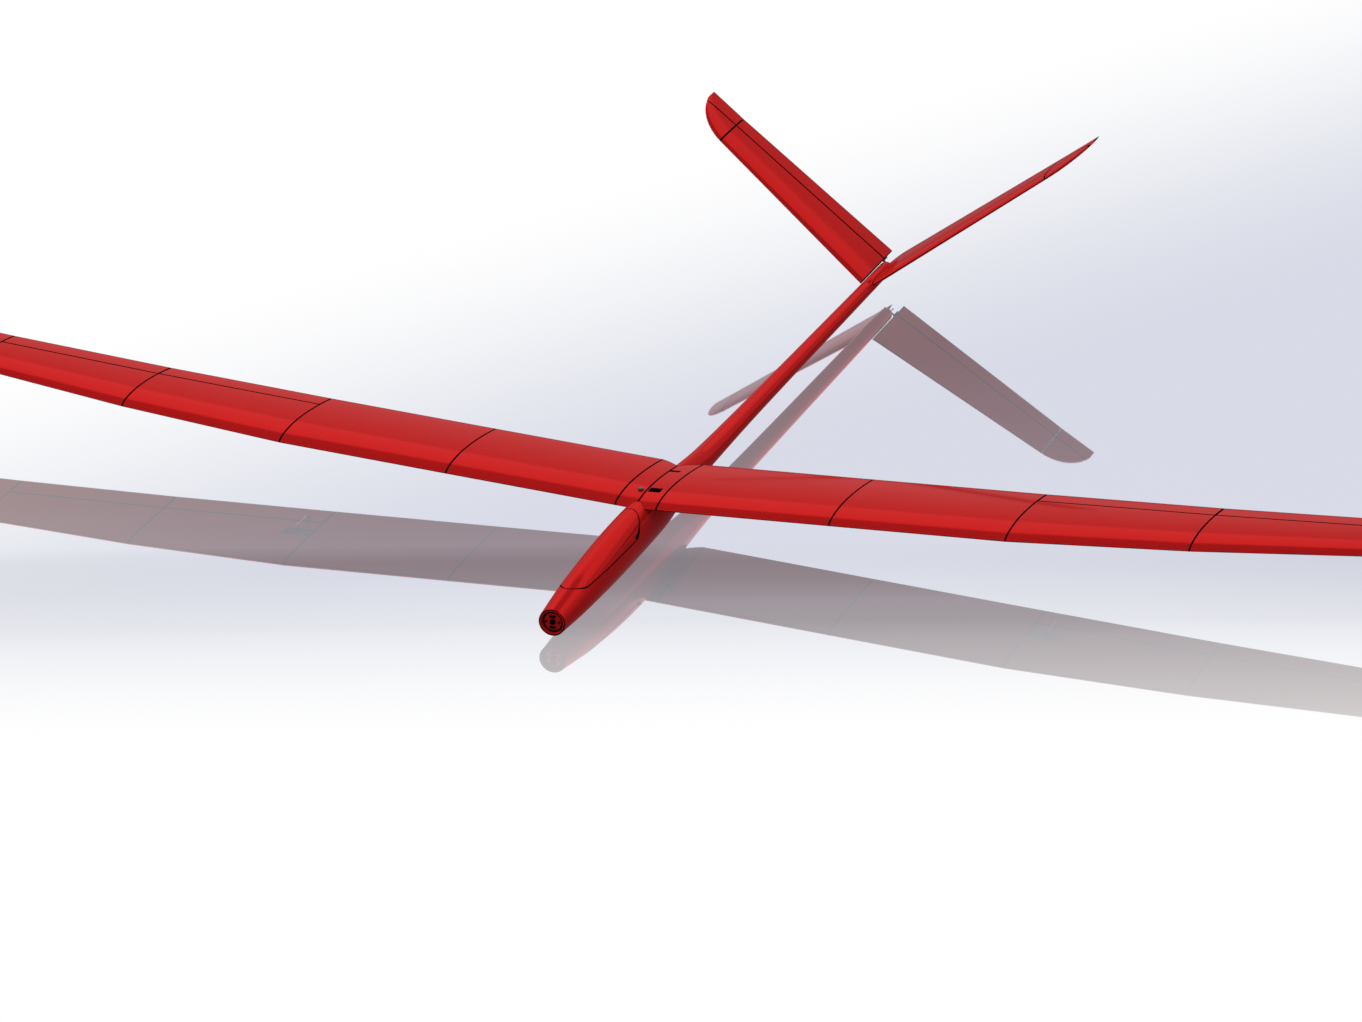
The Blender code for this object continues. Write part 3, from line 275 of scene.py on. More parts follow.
def surface_drift_group():
    """Slow changes of colour and gloss, and a fine grain, from the piece's own coordinates."""
    group = bpy.data.node_groups.new("surface_drift", "ShaderNodeTree")
    add_sockets(group, "INPUT", (("Color", "NodeSocketColor", (0.5, 0.5, 0.5, 1.0)),
                                 ("Drift", "NodeSocketFloat", 0.1),
                                 ("Patch Scale", "NodeSocketFloat", 12.0),
                                 ("Grain Scale", "NodeSocketFloat", 600.0),
                                 ("Roughness", "NodeSocketFloat", 0.4),
                                 ("Roughness Drift", "NodeSocketFloat", 0.1)))
    add_sockets(group, "OUTPUT", (("Color", "NodeSocketColor", None),
                                  ("Roughness", "NodeSocketFloat", None),
                                  ("Height", "NodeSocketFloat", None)))
    nodes, links = group.nodes, group.links
    inside = nodes.new("NodeGroupInput")
    outside = nodes.new("NodeGroupOutput")
    where = nodes.new("ShaderNodeTexCoord")
    patches = nodes.new("ShaderNodeTexNoise")
    patches.inputs["Detail"].default_value = 4.0
    grain = nodes.new("ShaderNodeTexNoise")
    grain.inputs["Detail"].default_value = 2.0
    for texture, scale in ((patches, "Patch Scale"), (grain, "Grain Scale")):
        links.new(where.outputs["Object"], texture.inputs["Vector"])
        links.new(inside.outputs[scale], texture.inputs["Scale"])
    tone = nodes.new("ShaderNodeMix")
    tone.data_type = "RGBA"
    tone.blend_type = "MULTIPLY"
    links.new(inside.outputs["Drift"], tone.inputs["Factor"])
    links.new(inside.outputs["Color"], tone.inputs["A"])
    links.new(patches.outputs["Fac"], tone.inputs["B"])
    links.new(tone.outputs["Result"], outside.inputs["Color"])
    centred = combine(nodes, links, "SUBTRACT", patches.outputs["Fac"], 0.5)
    gloss = combine(nodes, links, "MULTIPLY_ADD", centred["Value"], inside.outputs["Roughness Drift"],
                    inside.outputs["Roughness"])
    links.new(gloss["Value"], outside.inputs["Roughness"])
    links.new(grain.outputs["Fac"], outside.inputs["Height"])
    return group


SURFACE_DRIFT = surface_drift_group()


def base_finish(name, colour, roughness, drift, patch, grain, ripple, roughness_drift=0.1, **constants):
    """A Principled shader fed by the drift group. Ripple is the height of the grain in millimetres."""
    made = bpy.data.materials.new(name)
    made.use_nodes = True
    nodes, links = made.node_tree.nodes, made.node_tree.links
    shader = nodes["Principled BSDF"]
    for socket, value in constants.items():
        shader.inputs[socket.replace("_", " ")].default_value = value
    drifting = nodes.new("ShaderNodeGroup")
    drifting.node_tree = SURFACE_DRIFT
    drifting.name = "drift"
    values = {"Color": (*colour, 1.0), "Drift": drift, "Patch Scale": patch, "Grain Scale": grain,
              "Roughness": roughness, "Roughness Drift": roughness_drift}
    for socket, value in values.items():
        drifting.inputs[socket].default_value = value
    links.new(drifting.outputs["Color"], shader.inputs["Base Color"])
    links.new(drifting.outputs["Roughness"], shader.inputs["Roughness"])
    bump = nodes.new("ShaderNodeBump")
    bump.inputs["Distance"].default_value = ripple * MM
    bump.inputs["Strength"].default_value = 1.0
    links.new(drifting.outputs["Height"], bump.inputs["Height"])
    links.new(bump.outputs["Normal"], shader.inputs["Normal"])
    return made


# %% The finishes of this model
RED = base_finish("gloss_red", (0.43, 0.010, 0.010), 0.10, 0.05, 3.0, 90.0, 0.002, roughness_drift=0.04,
                  Metallic=0.4, Specular_IOR_Level=0.0, Specular_Tint=(1.0, 0.65, 0.65, 1.0))
# One black finish for the joints and edge lines. It is also painted shade in the hinge gaps, the lid's rim,
# the firewall groove and the walls of cut holes and pockets.
DARK_LINES_AND_SHADE = base_finish("dark_lines_and_painted_shade", (0.005, 0.003, 0.003), 0.7, 0.3, 40.0, 900.0, 0.01,
                   Specular_IOR_Level=0.0)
CARBON = base_finish("carbon_tube", (0.03, 0.03, 0.033), 0.3, 0.3, 120.0, 1500.0, 0.02, Coat_Weight=0.6)
STEEL = base_finish("steel_wire", (0.56, 0.56, 0.58), 0.28, 0.25, 90.0, 2500.0, 0.006, Metallic=1.0)
BLACK = base_finish("black_moulding", (0.022, 0.022, 0.024), 0.42, 0.3, 60.0, 3000.0, 0.02)
NICKEL = base_finish("nickel_plate", (0.70, 0.69, 0.66), 0.16, 0.15, 200.0, 2500.0, 0.003, Metallic=1.0)
PLY = base_finish("birch_ply", (0.60, 0.42, 0.24), 0.62, 0.5, 90.0, 2500.0, 0.03)
WRAP = base_finish("battery_wrap", (0.02, 0.09, 0.30), 0.22, 0.2, 50.0, 260.0, 0.12)
LABEL = base_finish("paper_label", (0.62, 0.63, 0.64), 0.5, 0.2, 60.0, 1200.0, 0.01)
BRASS = base_finish("gold_pins", (0.78, 0.57, 0.22), 0.25, 0.2, 300.0, 2500.0, 0.003, Metallic=1.0)
print("finishes", [m.name for m in bpy.data.materials])

# %% [markdown]
# ## Drawing a skin
# A wing panel, a fin and the fuselage are all skins through a row of outlines. A loft could be typed in
# as a list of points and faces, but the operators do it with less: a circle is bent to the first
# outline and its edges are extruded to the next, again and again. Each vertex carries its number round the
# outline in a layer, which an extrusion copies, so that it always finds its own place.

# %% Helpers for skins
def new_mesh():
    made = bmesh.new()
    made.verts.layers.int.new("order")
    return made


def only(kind, geometry):
    return [item for item in geometry if isinstance(item, kind)]


def draw_skin(bm, sections, paint=None):
    """Extrude an outline through sections. Returns the edges of its first and last outline."""
    order = bm.verts.layers.int["order"]
    count = len(sections[0])
    ring = bmesh.ops.create_circle(bm, segments=count, radius=1.0)["verts"]
    for number, vertex in enumerate(ring):
        vertex[order] = number
        vertex.co = sections[0][number]
    first = edges = list({edge for vertex in ring for edge in vertex.link_edges})
    for row, section in enumerate(sections[1:]):
        made = bmesh.ops.extrude_edge_only(bm, edges=edges)["geom"]
        fresh = set(only(bmesh.types.BMVert, made))
        for vertex in fresh:
            vertex.co = section[vertex[order]]
        edges = [edge for edge in only(bmesh.types.BMEdge, made) if set(edge.verts) <= fresh]
        for face in only(bmesh.types.BMFace, made):
            numbers = {vertex[order] for vertex in face.verts}
            column = count - 1 if numbers == {0, count - 1} else min(numbers)
            face.material_index = paint(row, column) if paint else 0
    return first, edges


def close_end(bm, edges, material=0):
    made = bmesh.ops.edgeloop_fill(bm, edges=edges)["faces"]
    for face in made:
        face.material_index = material


def make_piece(name, bm, finishes, smooth_angle=30.0):
    """Turn a bmesh into an object whose soft curves are smooth and whose corners stay sharp."""
    bmesh.ops.recalc_face_normals(bm, faces=bm.faces)
    mesh = bpy.data.meshes.new(name)
    bm.to_mesh(mesh)
    bm.free()
    for finish in finishes:
        mesh.materials.append(finish)
    mesh.shade_smooth()
    mesh.set_sharp_from_angle(angle=math.radians(smooth_angle))
    piece = bpy.data.objects.new(name, mesh)
    bpy.context.scene.collection.objects.link(piece)
    return piece


def carve(piece, tool, operation="DIFFERENCE", smooth_angle=30.0):
    """Cut a piece with a tool and keep the result; the new faces take the tool's finish."""
    cut = piece.modifiers.new("cut", "BOOLEAN")
    cut.operation = operation
    cut.solver = "EXACT"
    cut.material_mode = "TRANSFER"
    cut.object = tool
    graph = bpy.context.evaluated_depsgraph_get()
    finished = bpy.data.meshes.new_from_object(piece.evaluated_get(graph))
    piece.modifiers.clear()
    before = piece.data
    piece.data = finished
    finished.name = piece.name
    bpy.data.meshes.remove(before)
    bpy.data.objects.remove(tool)
    finished.set_sharp_from_angle(angle=math.radians(smooth_angle))


def body_of(node):
    bodies = frame["record"]["behaviour"]["bodies"]
    return next(body for body, members in bodies.items() if node in members)


SLOTS = {row["node"]: row["material_slot"] for row in frame["record"]["subparts"]}


def stand_for(piece, node):
    """The piece takes a CAD node's place and rides on its body."""
    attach(piece, body_of(node))
    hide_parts(node)
    print(piece.name, len(piece.data.polygons), "faces")


# %% Helpers for solid shapes
def block_mesh(bm, low, high, radius, segments=2):
    """A block with rounded edges between two corners, in metres."""
    made = bmesh.ops.create_cube(bm, size=1.0)["verts"]
    low, high = Vector(low), Vector(high)
    bmesh.ops.scale(bm, vec=high - low, verts=made)
    bmesh.ops.translate(bm, vec=(low + high) / 2, verts=made)
    if radius:
        edges = list({edge for vertex in made for edge in vertex.link_edges})
        bmesh.ops.bevel(bm, geom=edges, offset=radius * MM, offset_type="OFFSET", segments=segments,
                        profile=0.5, affect="EDGES", material=-1)


def round_sections(start, along, marks, sides):
    """Circles of points round a line: marks are (distance, radius) in millimetres."""
    along = Vector(along).normalized()
    across = along.orthogonal().normalized()
    other = along.cross(across)
    sections = []
    for distance, radius in marks:
        centre = start + along * distance * MM
        angles = (2 * math.pi * k / sides for k in range(sides))
        sections.append([centre + (across * math.cos(a) + other * math.sin(a)) * radius * MM
                         for a in angles])
    return sections


# Tools are black unless another finish is given, and the walls a tool cuts take its finish. So the walls of
# holes, pockets and the wing seat are painted shade.
def skin_tool(sections, finish=None):
    """A closed solid through a row of outlines."""
    bm = new_mesh()
    for edges in draw_skin(bm, sections):
        close_end(bm, edges)
    return make_piece("tool", bm, [finish or DARK_LINES_AND_SHADE])


def block_tool(low, high, finish=None):
    bm = new_mesh()
    block_mesh(bm, low, high, 0.0)
    return make_piece("tool", bm, [finish or DARK_LINES_AND_SHADE])


# %% [markdown]
# ## The wing's section
# The wing has one thin cambered section from end to end, a four-digit kind: a half thickness that swells
# and tapers along the chord, laid on both sides of a camber line. The numbers of the planform say where
# the leading edge and the chord are at each joint, and everything between is a straight line.

# %% Wing outline and section
WING_LE = (313.2, 40.3)
DIHEDRAL = math.radians(2.8)
INCIDENCE = math.radians(1.9)
CHORDS = (185.0, 185.0, 185.0, 166.0, 137.5, 95.0)
SWEEPS = (0.0, 0.0, 0.5, 22.5, 60.0, 117.0)
CAMBER, CAMBER_AT = 0.02, 0.4
WING_THICKNESS = 0.083
TRAILING_EDGE = 0.7
ROOT_CUTOUT, CUTOUT_POWER = 0.115, 1.3
AILERON_CHORD = 42.5
HINGE_GAP = 0.8
AILERON_WEDGE = math.radians(25.0)
SEAM_WIDTH = 1.25
EDGE_WIDTH = 1.5
SECTION_STEPS = 34


def wing_station(x):
    """Leading edge y and z, and chord, at a distance from the middle."""
    x = abs(x)
    le_z = WING_LE[1] + x * math.tan(DIHEDRAL)
    if x <= JOINTS[0]:
        return WING_LE[0], le_z, CHORDS[0]
    number = max(k for k in range(len(JOINTS) - 1) if JOINTS[k] <= x or k == 0)
    t = (x - JOINTS[number]) / (JOINTS[number + 1] - JOINTS[number])
    sweep = SWEEPS[number] * (1 - t) + SWEEPS[number + 1] * t
    return WING_LE[0] + sweep, le_z, CHORDS[number] * (1 - t) + CHORDS[number + 1] * t


def half_thickness(u, thickness):
    u = max(u, 0.0)
    return 5 * thickness * (0.2969 * math.sqrt(u) - 0.1260 * u - 0.3516 * u**2 + 0.2843 * u**3
                            - 0.1036 * u**4)


def camber_line(u):
    if u < CAMBER_AT:
        return CAMBER / CAMBER_AT**2 * (2 * CAMBER_AT * u - u**2)
    return CAMBER / (1 - CAMBER_AT) ** 2 * (1 - 2 * CAMBER_AT + 2 * CAMBER_AT * u - u**2)


def section_point(x, le_y, le_z, chord, u, side, grow=0.0):
    """A point of the section: side is 1 on top, -1 below and 0 on the camber line."""
    half = half_thickness(u, WING_THICKNESS) + u * TRAILING_EDGE / (2 * chord)
    rise = camber_line(u) * chord + side * (half * chord + grow)
    along = u * chord
    y = le_y + along * math.cos(INCIDENCE) + rise * math.sin(INCIDENCE)
    return x, y, le_z - along * math.sin(INCIDENCE) + rise * math.cos(INCIDENCE)


def wing_point(x, u, side):
    return section_point(x, *wing_station(x), u, side)


def skin_height(x, y, side):
    le_y, _, chord = wing_station(x)
    return wing_point(x, (y - le_y) / chord, side)[2]


def chord_steps(end, band, count=SECTION_STEPS):
    """Shares of the chord from the leading edge, crowded there, with a narrow last step."""
    return [(1 - math.cos(k / count * math.pi / 2)) * (end - band) for k in range(count + 1)] + [end]


def walk_round(steps):
    return [(u, 1) for u in reversed(steps)] + [(u, -1) for u in steps[1:]]


def section_outline(x, end, le_y, le_z, chord, grow=0.0):
    """Outline from the top's end round the nose to the bottom's end."""
    walk = walk_round(chord_steps(end, EDGE_WIDTH / chord))
    return [place(*section_point(x, le_y, le_z, chord, u, side, grow)) for u, side in walk]


def hinge_share(x):
    return 1.0 - AILERON_CHORD / wing_station(x)[2]


def panel_end(x, number):
    if number in (3, 4):
        return hinge_share(x) - HINGE_GAP / wing_station(x)[2]
    return 1.0


def root_end(x):
    return 1.0 - ROOT_CUTOUT * max(0.0, 1.0 - abs(x) / JOINTS[0]) ** CUTOUT_POWER


print("section is", round(2 * max(half_thickness(u / 50, WING_THICKNESS) for u in range(50)) * CHORDS[0], 1),
      "mm thick at the root")

# %% [markdown]
# ## Wing panels
# Each section of the wing was printed on its end and glued to the next, and the joint shows as a thin
# dark line. The line could be a texture, but a narrow row of faces at each end of the panel is sharper
# and goes with the mesh. The same dark edge runs along the trailing edge, where the skin is thinnest, and
# just under the leading edge. The third panel has the servo bay, cut up into it from below.

# %% Wing skins
def seam_rows(inner, outer, middle):
    """Stations of a panel: a narrow seam row at both ends and even rows between them."""
    start, end = inner + SEAM_WIDTH, outer - SEAM_WIDTH
    between = [start + (end - start) * k / middle for k in range(middle + 1)]
    return [inner] + between + [outer]


def red_skin(name, sections, dark, ends):
    """Closed red skin whose dark columns, and end rows where ends says so, show as lines."""
    def paint(row, column):
        at_end = (row == 0 and ends[0]) or (row == len(sections) - 2 and ends[1])
        return 1 if at_end or column in dark else 0
    bm = new_mesh()
    for edges in draw_skin(bm, sections, paint):
        close_end(bm, edges, 1)
    return make_piece(name, bm, [RED, DARK_LINES_AND_SHADE], 35.0)


def wing_skin(name, stations, outline, ends=(True, True), under=(1, 2)):
    """A fixed skin: dark along the trailing edge and just under the leading edge."""
    sections = [outline(x) for x in stations]
    count = len(sections[0])
    dark = {0, count - 2, count - 1} | {(count - 1) // 2 + step for step in under}
    return red_skin(name, sections, dark, ends)


PANEL_ROWS = 8
BAY_START, BAY_END = 3.0, 47.0
BAY_FRONT_Y, BAY_BACK_Y = 405.0, 429.0
BAY_ROOM = 0.6


def bay_tool(side, word):
    """Open-bottomed box that cuts the servo bay up into the panel."""
    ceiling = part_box(f"wing_servo_{word}")[1].z + BAY_ROOM * MM
    x0, x1 = sorted(side * (JOINTS[2] + x) for x in (BAY_START, BAY_END))
    low = place(x0, BAY_FRONT_Y, 0)
    high = place(x1, BAY_BACK_Y, 0)
    high.z = ceiling
    return block_tool(low, high, RED)


for side, word in SIDES.items():
    for number in range(1, 6):
        inner, outer = JOINTS[number - 1] + GAP / 2, JOINTS[number] - GAP / 2
        stations = [side * x for x in seam_rows(inner, outer, PANEL_ROWS)]
        panel = wing_skin(f"wing_skin_{number}_{word}", stations,
                          lambda x: section_outline(x, panel_end(x, number), *wing_station(x)))
        if number == 3:
            carve(panel, bay_tool(side, word), smooth_angle=35.0)
        stand_for(panel, f"wing_panel_{number}_{word}")

# %% [markdown]
# ## Wing tips
# The tip is a rounded cap: its chord shrinks along part of an ellipse while the trailing edge runs
# gently back. Rows are closer together where the curve is tight.

# %% Tip caps
TIP_ROUNDING = 2.4
TIP_END_SHARE = 0.985
TIP_SWEEP = 9.0
TIP_ROWS = 22


def tip_outline(x):
    start = JOINTS[-1] + GAP / 2
    step = (abs(x) - start) / (TIP_END - start)
    le_y, _, chord = wing_station(JOINTS[-1])
    tip_chord = chord * math.sqrt(1 - (step * TIP_END_SHARE) ** TIP_ROUNDING)
    leading = le_y + chord + TIP_SWEEP * step - tip_chord
    return section_outline(x, 1.0, leading, WING_LE[1] + abs(x) * math.tan(DIHEDRAL), tip_chord)


for side, word in SIDES.items():
    start = JOINTS[-1] + GAP / 2
    shares = [math.sin(k / TIP_ROWS * math.pi / 2) for k in range(TIP_ROWS + 1)]
    reach = TIP_END - start
    stations = [start] + [start + SEAM_WIDTH + (reach - SEAM_WIDTH) * share for share in shares]
    tip = wing_skin(f"wing_tip_cap_{word}", [side * x for x in stations], tip_outline, (True, False))
    stand_for(tip, f"wing_tip_{word}")

# %% [markdown]
# ## Ailerons
# The moving part of the trailing edge starts in a wedge whose point lies on the hinge line, so that it
# can swing up and down without touching the wing. The wedge sits in the hinge gap and is painted dark:
# painted shade, so that the gap shows as the hinge line.

# %% Aileron skins
AILERON_END_GAP = 0.5
AILERON_STEPS = 12


def aileron_outline(x):
    chord = wing_station(x)[2]
    hinge = hinge_share(x)
    shoulder = hinge + half_thickness(hinge, WING_THICKNESS) * math.tan(AILERON_WEDGE)
    edge = 1.0 - EDGE_WIDTH / chord
    steps = [shoulder + (edge - shoulder) * k / AILERON_STEPS for k in range(AILERON_STEPS + 1)] + [1.0]
    top = [wing_point(x, u, 1) for u in steps]
    bottom = [wing_point(x, u, -1) for u in reversed(steps)]
    return [place(*point) for point in [wing_point(x, hinge, 0)] + top + bottom]


def control_skin(name, stations, outline, steps, ends=(True, True)):
    """A control surface: wedge in front painted dark as the hinge gap's shade, dark trailing edge, red skin
    between.
    """
    sections = [outline(x) for x in stations]
    # The first and last columns are the wedge, painted shade of the hinge gap. The other three are the
    # trailing edge.
    dark = {0, len(sections[0]) - 1, steps + 1, steps + 2, steps + 3}
    return red_skin(name, sections, dark, ends)


for side, word in SIDES.items():
    for number, part in ((3, "inner"), (4, "outer")):
        inner = JOINTS[number - 1] + AILERON_END_GAP
        outer = JOINTS[number] - AILERON_END_GAP
        stations = [side * x for x in seam_rows(inner, outer, PANEL_ROWS)]
        aileron = control_skin(f"aileron_skin_{part}_{word}", stations, aileron_outline, AILERON_STEPS)
        stand_for(aileron, f"aileron_{part}_{word}")

# %% [markdown]
# ## Fuselage
# The pod and boom are one printed tube. Its width, middle and height are known at a few stations, and a
# smooth cubic runs through them. The tube is drawn as a sock: the outer skin from nose to tail, then the
# inner skin back again, and the two rims bridged, so that it has its real wall.

# %% Fuselage sections
FUSELAGE_KEYS = (
    (0.0, 19.0, 0.0, 19.0), (50.0, 22.3, 2.3, 23.8), (100.0, 24.3, 4.7, 28.2), (200.0, 25.7, 8.1, 34.0),
    (300.0, 24.7, 10.1, 36.0), (400.0, 21.5, 9.6, 33.2), (480.0, 16.6, 11.2, 25.4), (580.0, 16.0, 10.4, 17.0),
    (780.0, 13.2, 11.0, 13.2), (1275.0, 10.25, 10.6, 10.25))
WALL = 1.5
FUSELAGE_SIDES = 72


def smooth_key(y, column):
    """Cubic through the keys, with slopes taken from the neighbours."""
    keys, last = FUSELAGE_KEYS, len(FUSELAGE_KEYS) - 1
    number = max(k for k in range(last) if keys[k][0] <= y or k == 0)
    slopes = []
    for k in (number, number + 1):
        before, after = keys[max(k - 1, 0)], keys[min(k + 1, last)]
        slopes.append((after[column] - before[column]) / (after[0] - before[0]))
    start, end = keys[number], keys[number + 1]
    span = end[0] - start[0]
    t = (y - start[0]) / span
    value = (2 * t**3 - 3 * t**2 + 1) * start[column] + (3 * t**2 - 2 * t**3) * end[column]
    return value + span * ((t**3 - 2 * t**2 + t) * slopes[0] + (t**3 - t**2) * slopes[1])


def fuselage_section(y):
    return tuple(smooth_key(y, column) for column in (1, 2, 3))


def fuselage_outline(y, inset):
    half_width, centre, half_height = fuselage_section(y)
    angles = (2 * math.pi * k / FUSELAGE_SIDES for k in range(FUSELAGE_SIDES))
    return [place((half_width - inset) * math.cos(a), y, centre + (half_height - inset) * math.sin(a))
            for a in angles]


def sock(name, stations, outer_inset, inner_inset, finish, rim=None):
    """Tube with a wall through the fuselage's sections."""
    outlines = [fuselage_outline(y, outer_inset) for y in stations]
    outlines += [fuselage_outline(y, inner_inset) for y in reversed(stations)]
    bm = new_mesh()
    first, last = draw_skin(bm, outlines)
    bridge = bmesh.ops.bridge_loops(bm, edges=first + last)["faces"]
    for face in bridge:
        face.material_index = 1 if rim else 0
    return make_piece(name, bm, [finish] + ([rim] if rim else []), 40.0)


def even(start, end, step):
    count = max(1, round((end - start) / step))
    return [start + (end - start) * k / count for k in range(count + 1)]


boom_end = FUSELAGE_KEYS[-1][0]
shell = sock("fuselage_skin", even(0, 500, 8.0) + even(515, boom_end, 20.0), 0.0, WALL, RED, DARK_LINES_AND_SHADE)

# %% [markdown]
# ## Hatch opening and wing seat
# The radio bay opens on top. Its outline is straight along a sill on each side, with a pointed arch in
# front and a half ellipse behind. One upright prism of that outline cuts the opening, and the same prism
# made smaller cuts the hatch out of the same skin. That way the lid always fits the hole.

# %% Cut the openings
SILL_Z = 19.3
HATCH_FRONT = (82.0, 54.0)
HATCH_REAR = (252.0, 297.0)
HATCH_END_STEPS = 28
HATCH_FRONT_POWER = 1.6
CUT_TOP_Z = 100.0
CLEAR = 35.0


def sill_half_width(y):
    half_width, centre, half_height = fuselage_section(y)
    return half_width * math.sqrt(1 - ((SILL_Z - centre) / half_height) ** 2)


def hatch_tool(grow, finish):
    outline = []
    ends = ((HATCH_FRONT, math.pi, HATCH_FRONT_POWER), (HATCH_REAR, 0.0, 1.0))
    for (corner_y, top_y), start, power in ends:
        side = math.cos(start)
        half = sill_half_width(corner_y) + grow
        reach = top_y - corner_y + side * grow
        outline.append((side * CLEAR, corner_y))
        for k in range(HATCH_END_STEPS + 1):
            angle = start + math.pi * k / HATCH_END_STEPS
            outline.append((math.cos(angle) * half, corner_y + abs(math.sin(angle)) ** power * reach))
        outline.append((-side * CLEAR, corner_y))
    return skin_tool([[place(x, y, z) for x, y in outline] for z in (SILL_Z - grow, CUT_TOP_Z)], finish)


def wing_seat_tool():
    reach = JOINTS[0] + 10.0
    # The walls cut round the wing seat take this tool's black finish: painted shade where the wing meets the
    # fuselage.
    return skin_tool([section_outline(x, root_end(x) + GAP / CHORDS[0], *wing_station(x), GAP)
                      for x in (-reach, -20.0, -10.0, 0.0, 10.0, 20.0, reach)])


carve(shell, hatch_tool(GAP / 2, RED), smooth_angle=40.0)
carve(shell, wing_seat_tool(), smooth_angle=40.0)
saddle_low, saddle_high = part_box("wing_saddle")
margin = Vector((GAP, GAP, GAP)) * MM
tall = Vector((saddle_high.x, saddle_high.y, place(0, 0, CUT_TOP_Z).z))
carve(shell, block_tool(saddle_low - margin, tall + margin, RED), smooth_angle=40.0)
stand_for(shell, "fuselage_shell")

# %% [markdown]
# ## Canopy hatch
# The lid is the piece of skin that the prism leaves. Its rim is stepped down by half a millimetre and
# painted dark: painted shade, for the shadow in the gap round a lid that sits in its recess.

# %% Hatch and its rim
RIM_WIDTH = 1.7
RIM_STEP = 0.45
stations = even(HATCH_FRONT[1] - 12, HATCH_REAR[1] + 12, 6.0)
hatch = sock("canopy_lid", stations, 0.0, WALL, RED)
carve(hatch, hatch_tool(-GAP / 2 - RIM_WIDTH, RED), "INTERSECT", 40.0)
# The rim is painted shade: its dark finish stands for the shadow in the gap round the lid.
rim = sock("rim", stations, RIM_STEP, WALL, DARK_LINES_AND_SHADE)
carve(rim, hatch_tool(-GAP / 2, DARK_LINES_AND_SHADE), "INTERSECT", 40.0)
carve(rim, hatch_tool(-GAP / 2 - 2 * RIM_WIDTH, DARK_LINES_AND_SHADE), "DIFFERENCE", 40.0)


def join_into(piece, other):
    """Put another object's mesh into a piece, with its own finishes."""
    bm = bmesh.new()
    bm.from_mesh(piece.data)
    start = len(piece.data.materials)
    marked = len(bm.faces)
    bm.from_mesh(other.data)
    bm.faces.ensure_lookup_table()
    for face in bm.faces[marked:]:
        face.material_index += start
    for finish in other.data.materials:
        piece.data.materials.append(finish)
    bm.to_mesh(piece.data)
    bm.free()
    bpy.data.objects.remove(other)


join_into(hatch, rim)
stand_for(hatch, "canopy_hatch")

# %% [markdown]
# ## Nose
# The nose ends in a plain ring, and the plate that a small motor would be screwed to sits just behind
# it. The plate has a groove near its rim, a hole for the shaft, a round screw hole on each side, and a
# short curved slot above and below. The groove and the walls of the holes are painted dark as shade.

# %% Nose ring and firewall
FIREWALL_RECESS, FIREWALL_THICKNESS = 3.0, 3.0
BOLT_HOLES = ((9.5, 0.0), (-9.5, 0.0), (0.0, 8.0), (0.0, -8.0))
ring_outer = (nose_high.x - nose_low.x) / 2 / MM
ring_length = (nose_high.y - nose_low.y) / MM
RING_WALL = 1.7
CHAMFER = 0.4
ring_inner = ring_outer - RING_WALL
AFT = Vector((0, 1, 0))
ring_marks = [(CHAMFER, ring_outer), (ring_length, ring_outer), (ring_length, ring_inner),
              (CHAMFER, ring_inner), (0.0, ring_inner + CHAMFER), (0.0, ring_outer - CHAMFER)]
bm = new_mesh()
first, last = draw_skin(bm, round_sections(place(0, 0, 0), AFT, ring_marks, 96))
bmesh.ops.bridge_loops(bm, edges=first + last)
nose = make_piece("nose_rim", bm, [RED, DARK_LINES_AND_SHADE], 40.0)
stand_for(nose, "nose_ring")

low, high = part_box("motor_firewall")
radius = (high.x - low.x) / 2 / MM
bm = new_mesh()
DISC_RADIUS, GROOVE_RADIUS, GROOVE_DEPTH = 12.3, 15.3, 1.6
GROOVE_SHADE_ROWS = (1, 2, 3)
plate_marks = [(0.0, DISC_RADIUS - CHAMFER), (CHAMFER, DISC_RADIUS), (GROOVE_DEPTH, DISC_RADIUS),
               (GROOVE_DEPTH, GROOVE_RADIUS), (CHAMFER, GROOVE_RADIUS), (0.0, GROOVE_RADIUS + CHAMFER),
               (0.0, radius), (FIREWALL_THICKNESS, radius)]
# The groove's rows take the dark finish: painted shade in the groove.
first, last = draw_skin(bm, round_sections(place(0, FIREWALL_RECESS, 0), AFT, plate_marks, 96),
                        lambda row, column: 1 if row in GROOVE_SHADE_ROWS else 0)
close_end(bm, first)
close_end(bm, last)
firewall = make_piece("motor_plate", bm, [RED, DARK_LINES_AND_SHADE], 40.0)
ahead = FIREWALL_RECESS - 2.0
reach = FIREWALL_THICKNESS + 4.0
SHAFT_HOLE_RADIUS = 4.0
SCREW_RADIUS = 1.6
SLOT_TURN = math.radians(20.0)      # from the slot's middle to the centre of each end
SLOT_END_STEPS, SLOT_SIDE_STEPS = 12, 8


def slot_tool(centre_angle, circle):
    """A short curved slot along a circle round the shaft, with round ends."""
    outline = []
    for offset, start, rim in ((SLOT_TURN, 0.0, circle - SCREW_RADIUS),
                               (-SLOT_TURN, math.pi, circle + SCREW_RADIUS)):
        middle = centre_angle + offset
        for k in range(SLOT_END_STEPS + 1):
            angle = middle + start + math.pi * k / SLOT_END_STEPS
            outline.append((circle * math.cos(middle) + SCREW_RADIUS * math.cos(angle),
                            circle * math.sin(middle) + SCREW_RADIUS * math.sin(angle)))
        for k in range(1, SLOT_SIDE_STEPS):
            angle = middle - 2 * offset * k / SLOT_SIDE_STEPS
            outline.append((rim * math.cos(angle), rim * math.sin(angle)))
    return skin_tool([[place(x, y, z) for x, z in outline] for y in (ahead, ahead + reach)])


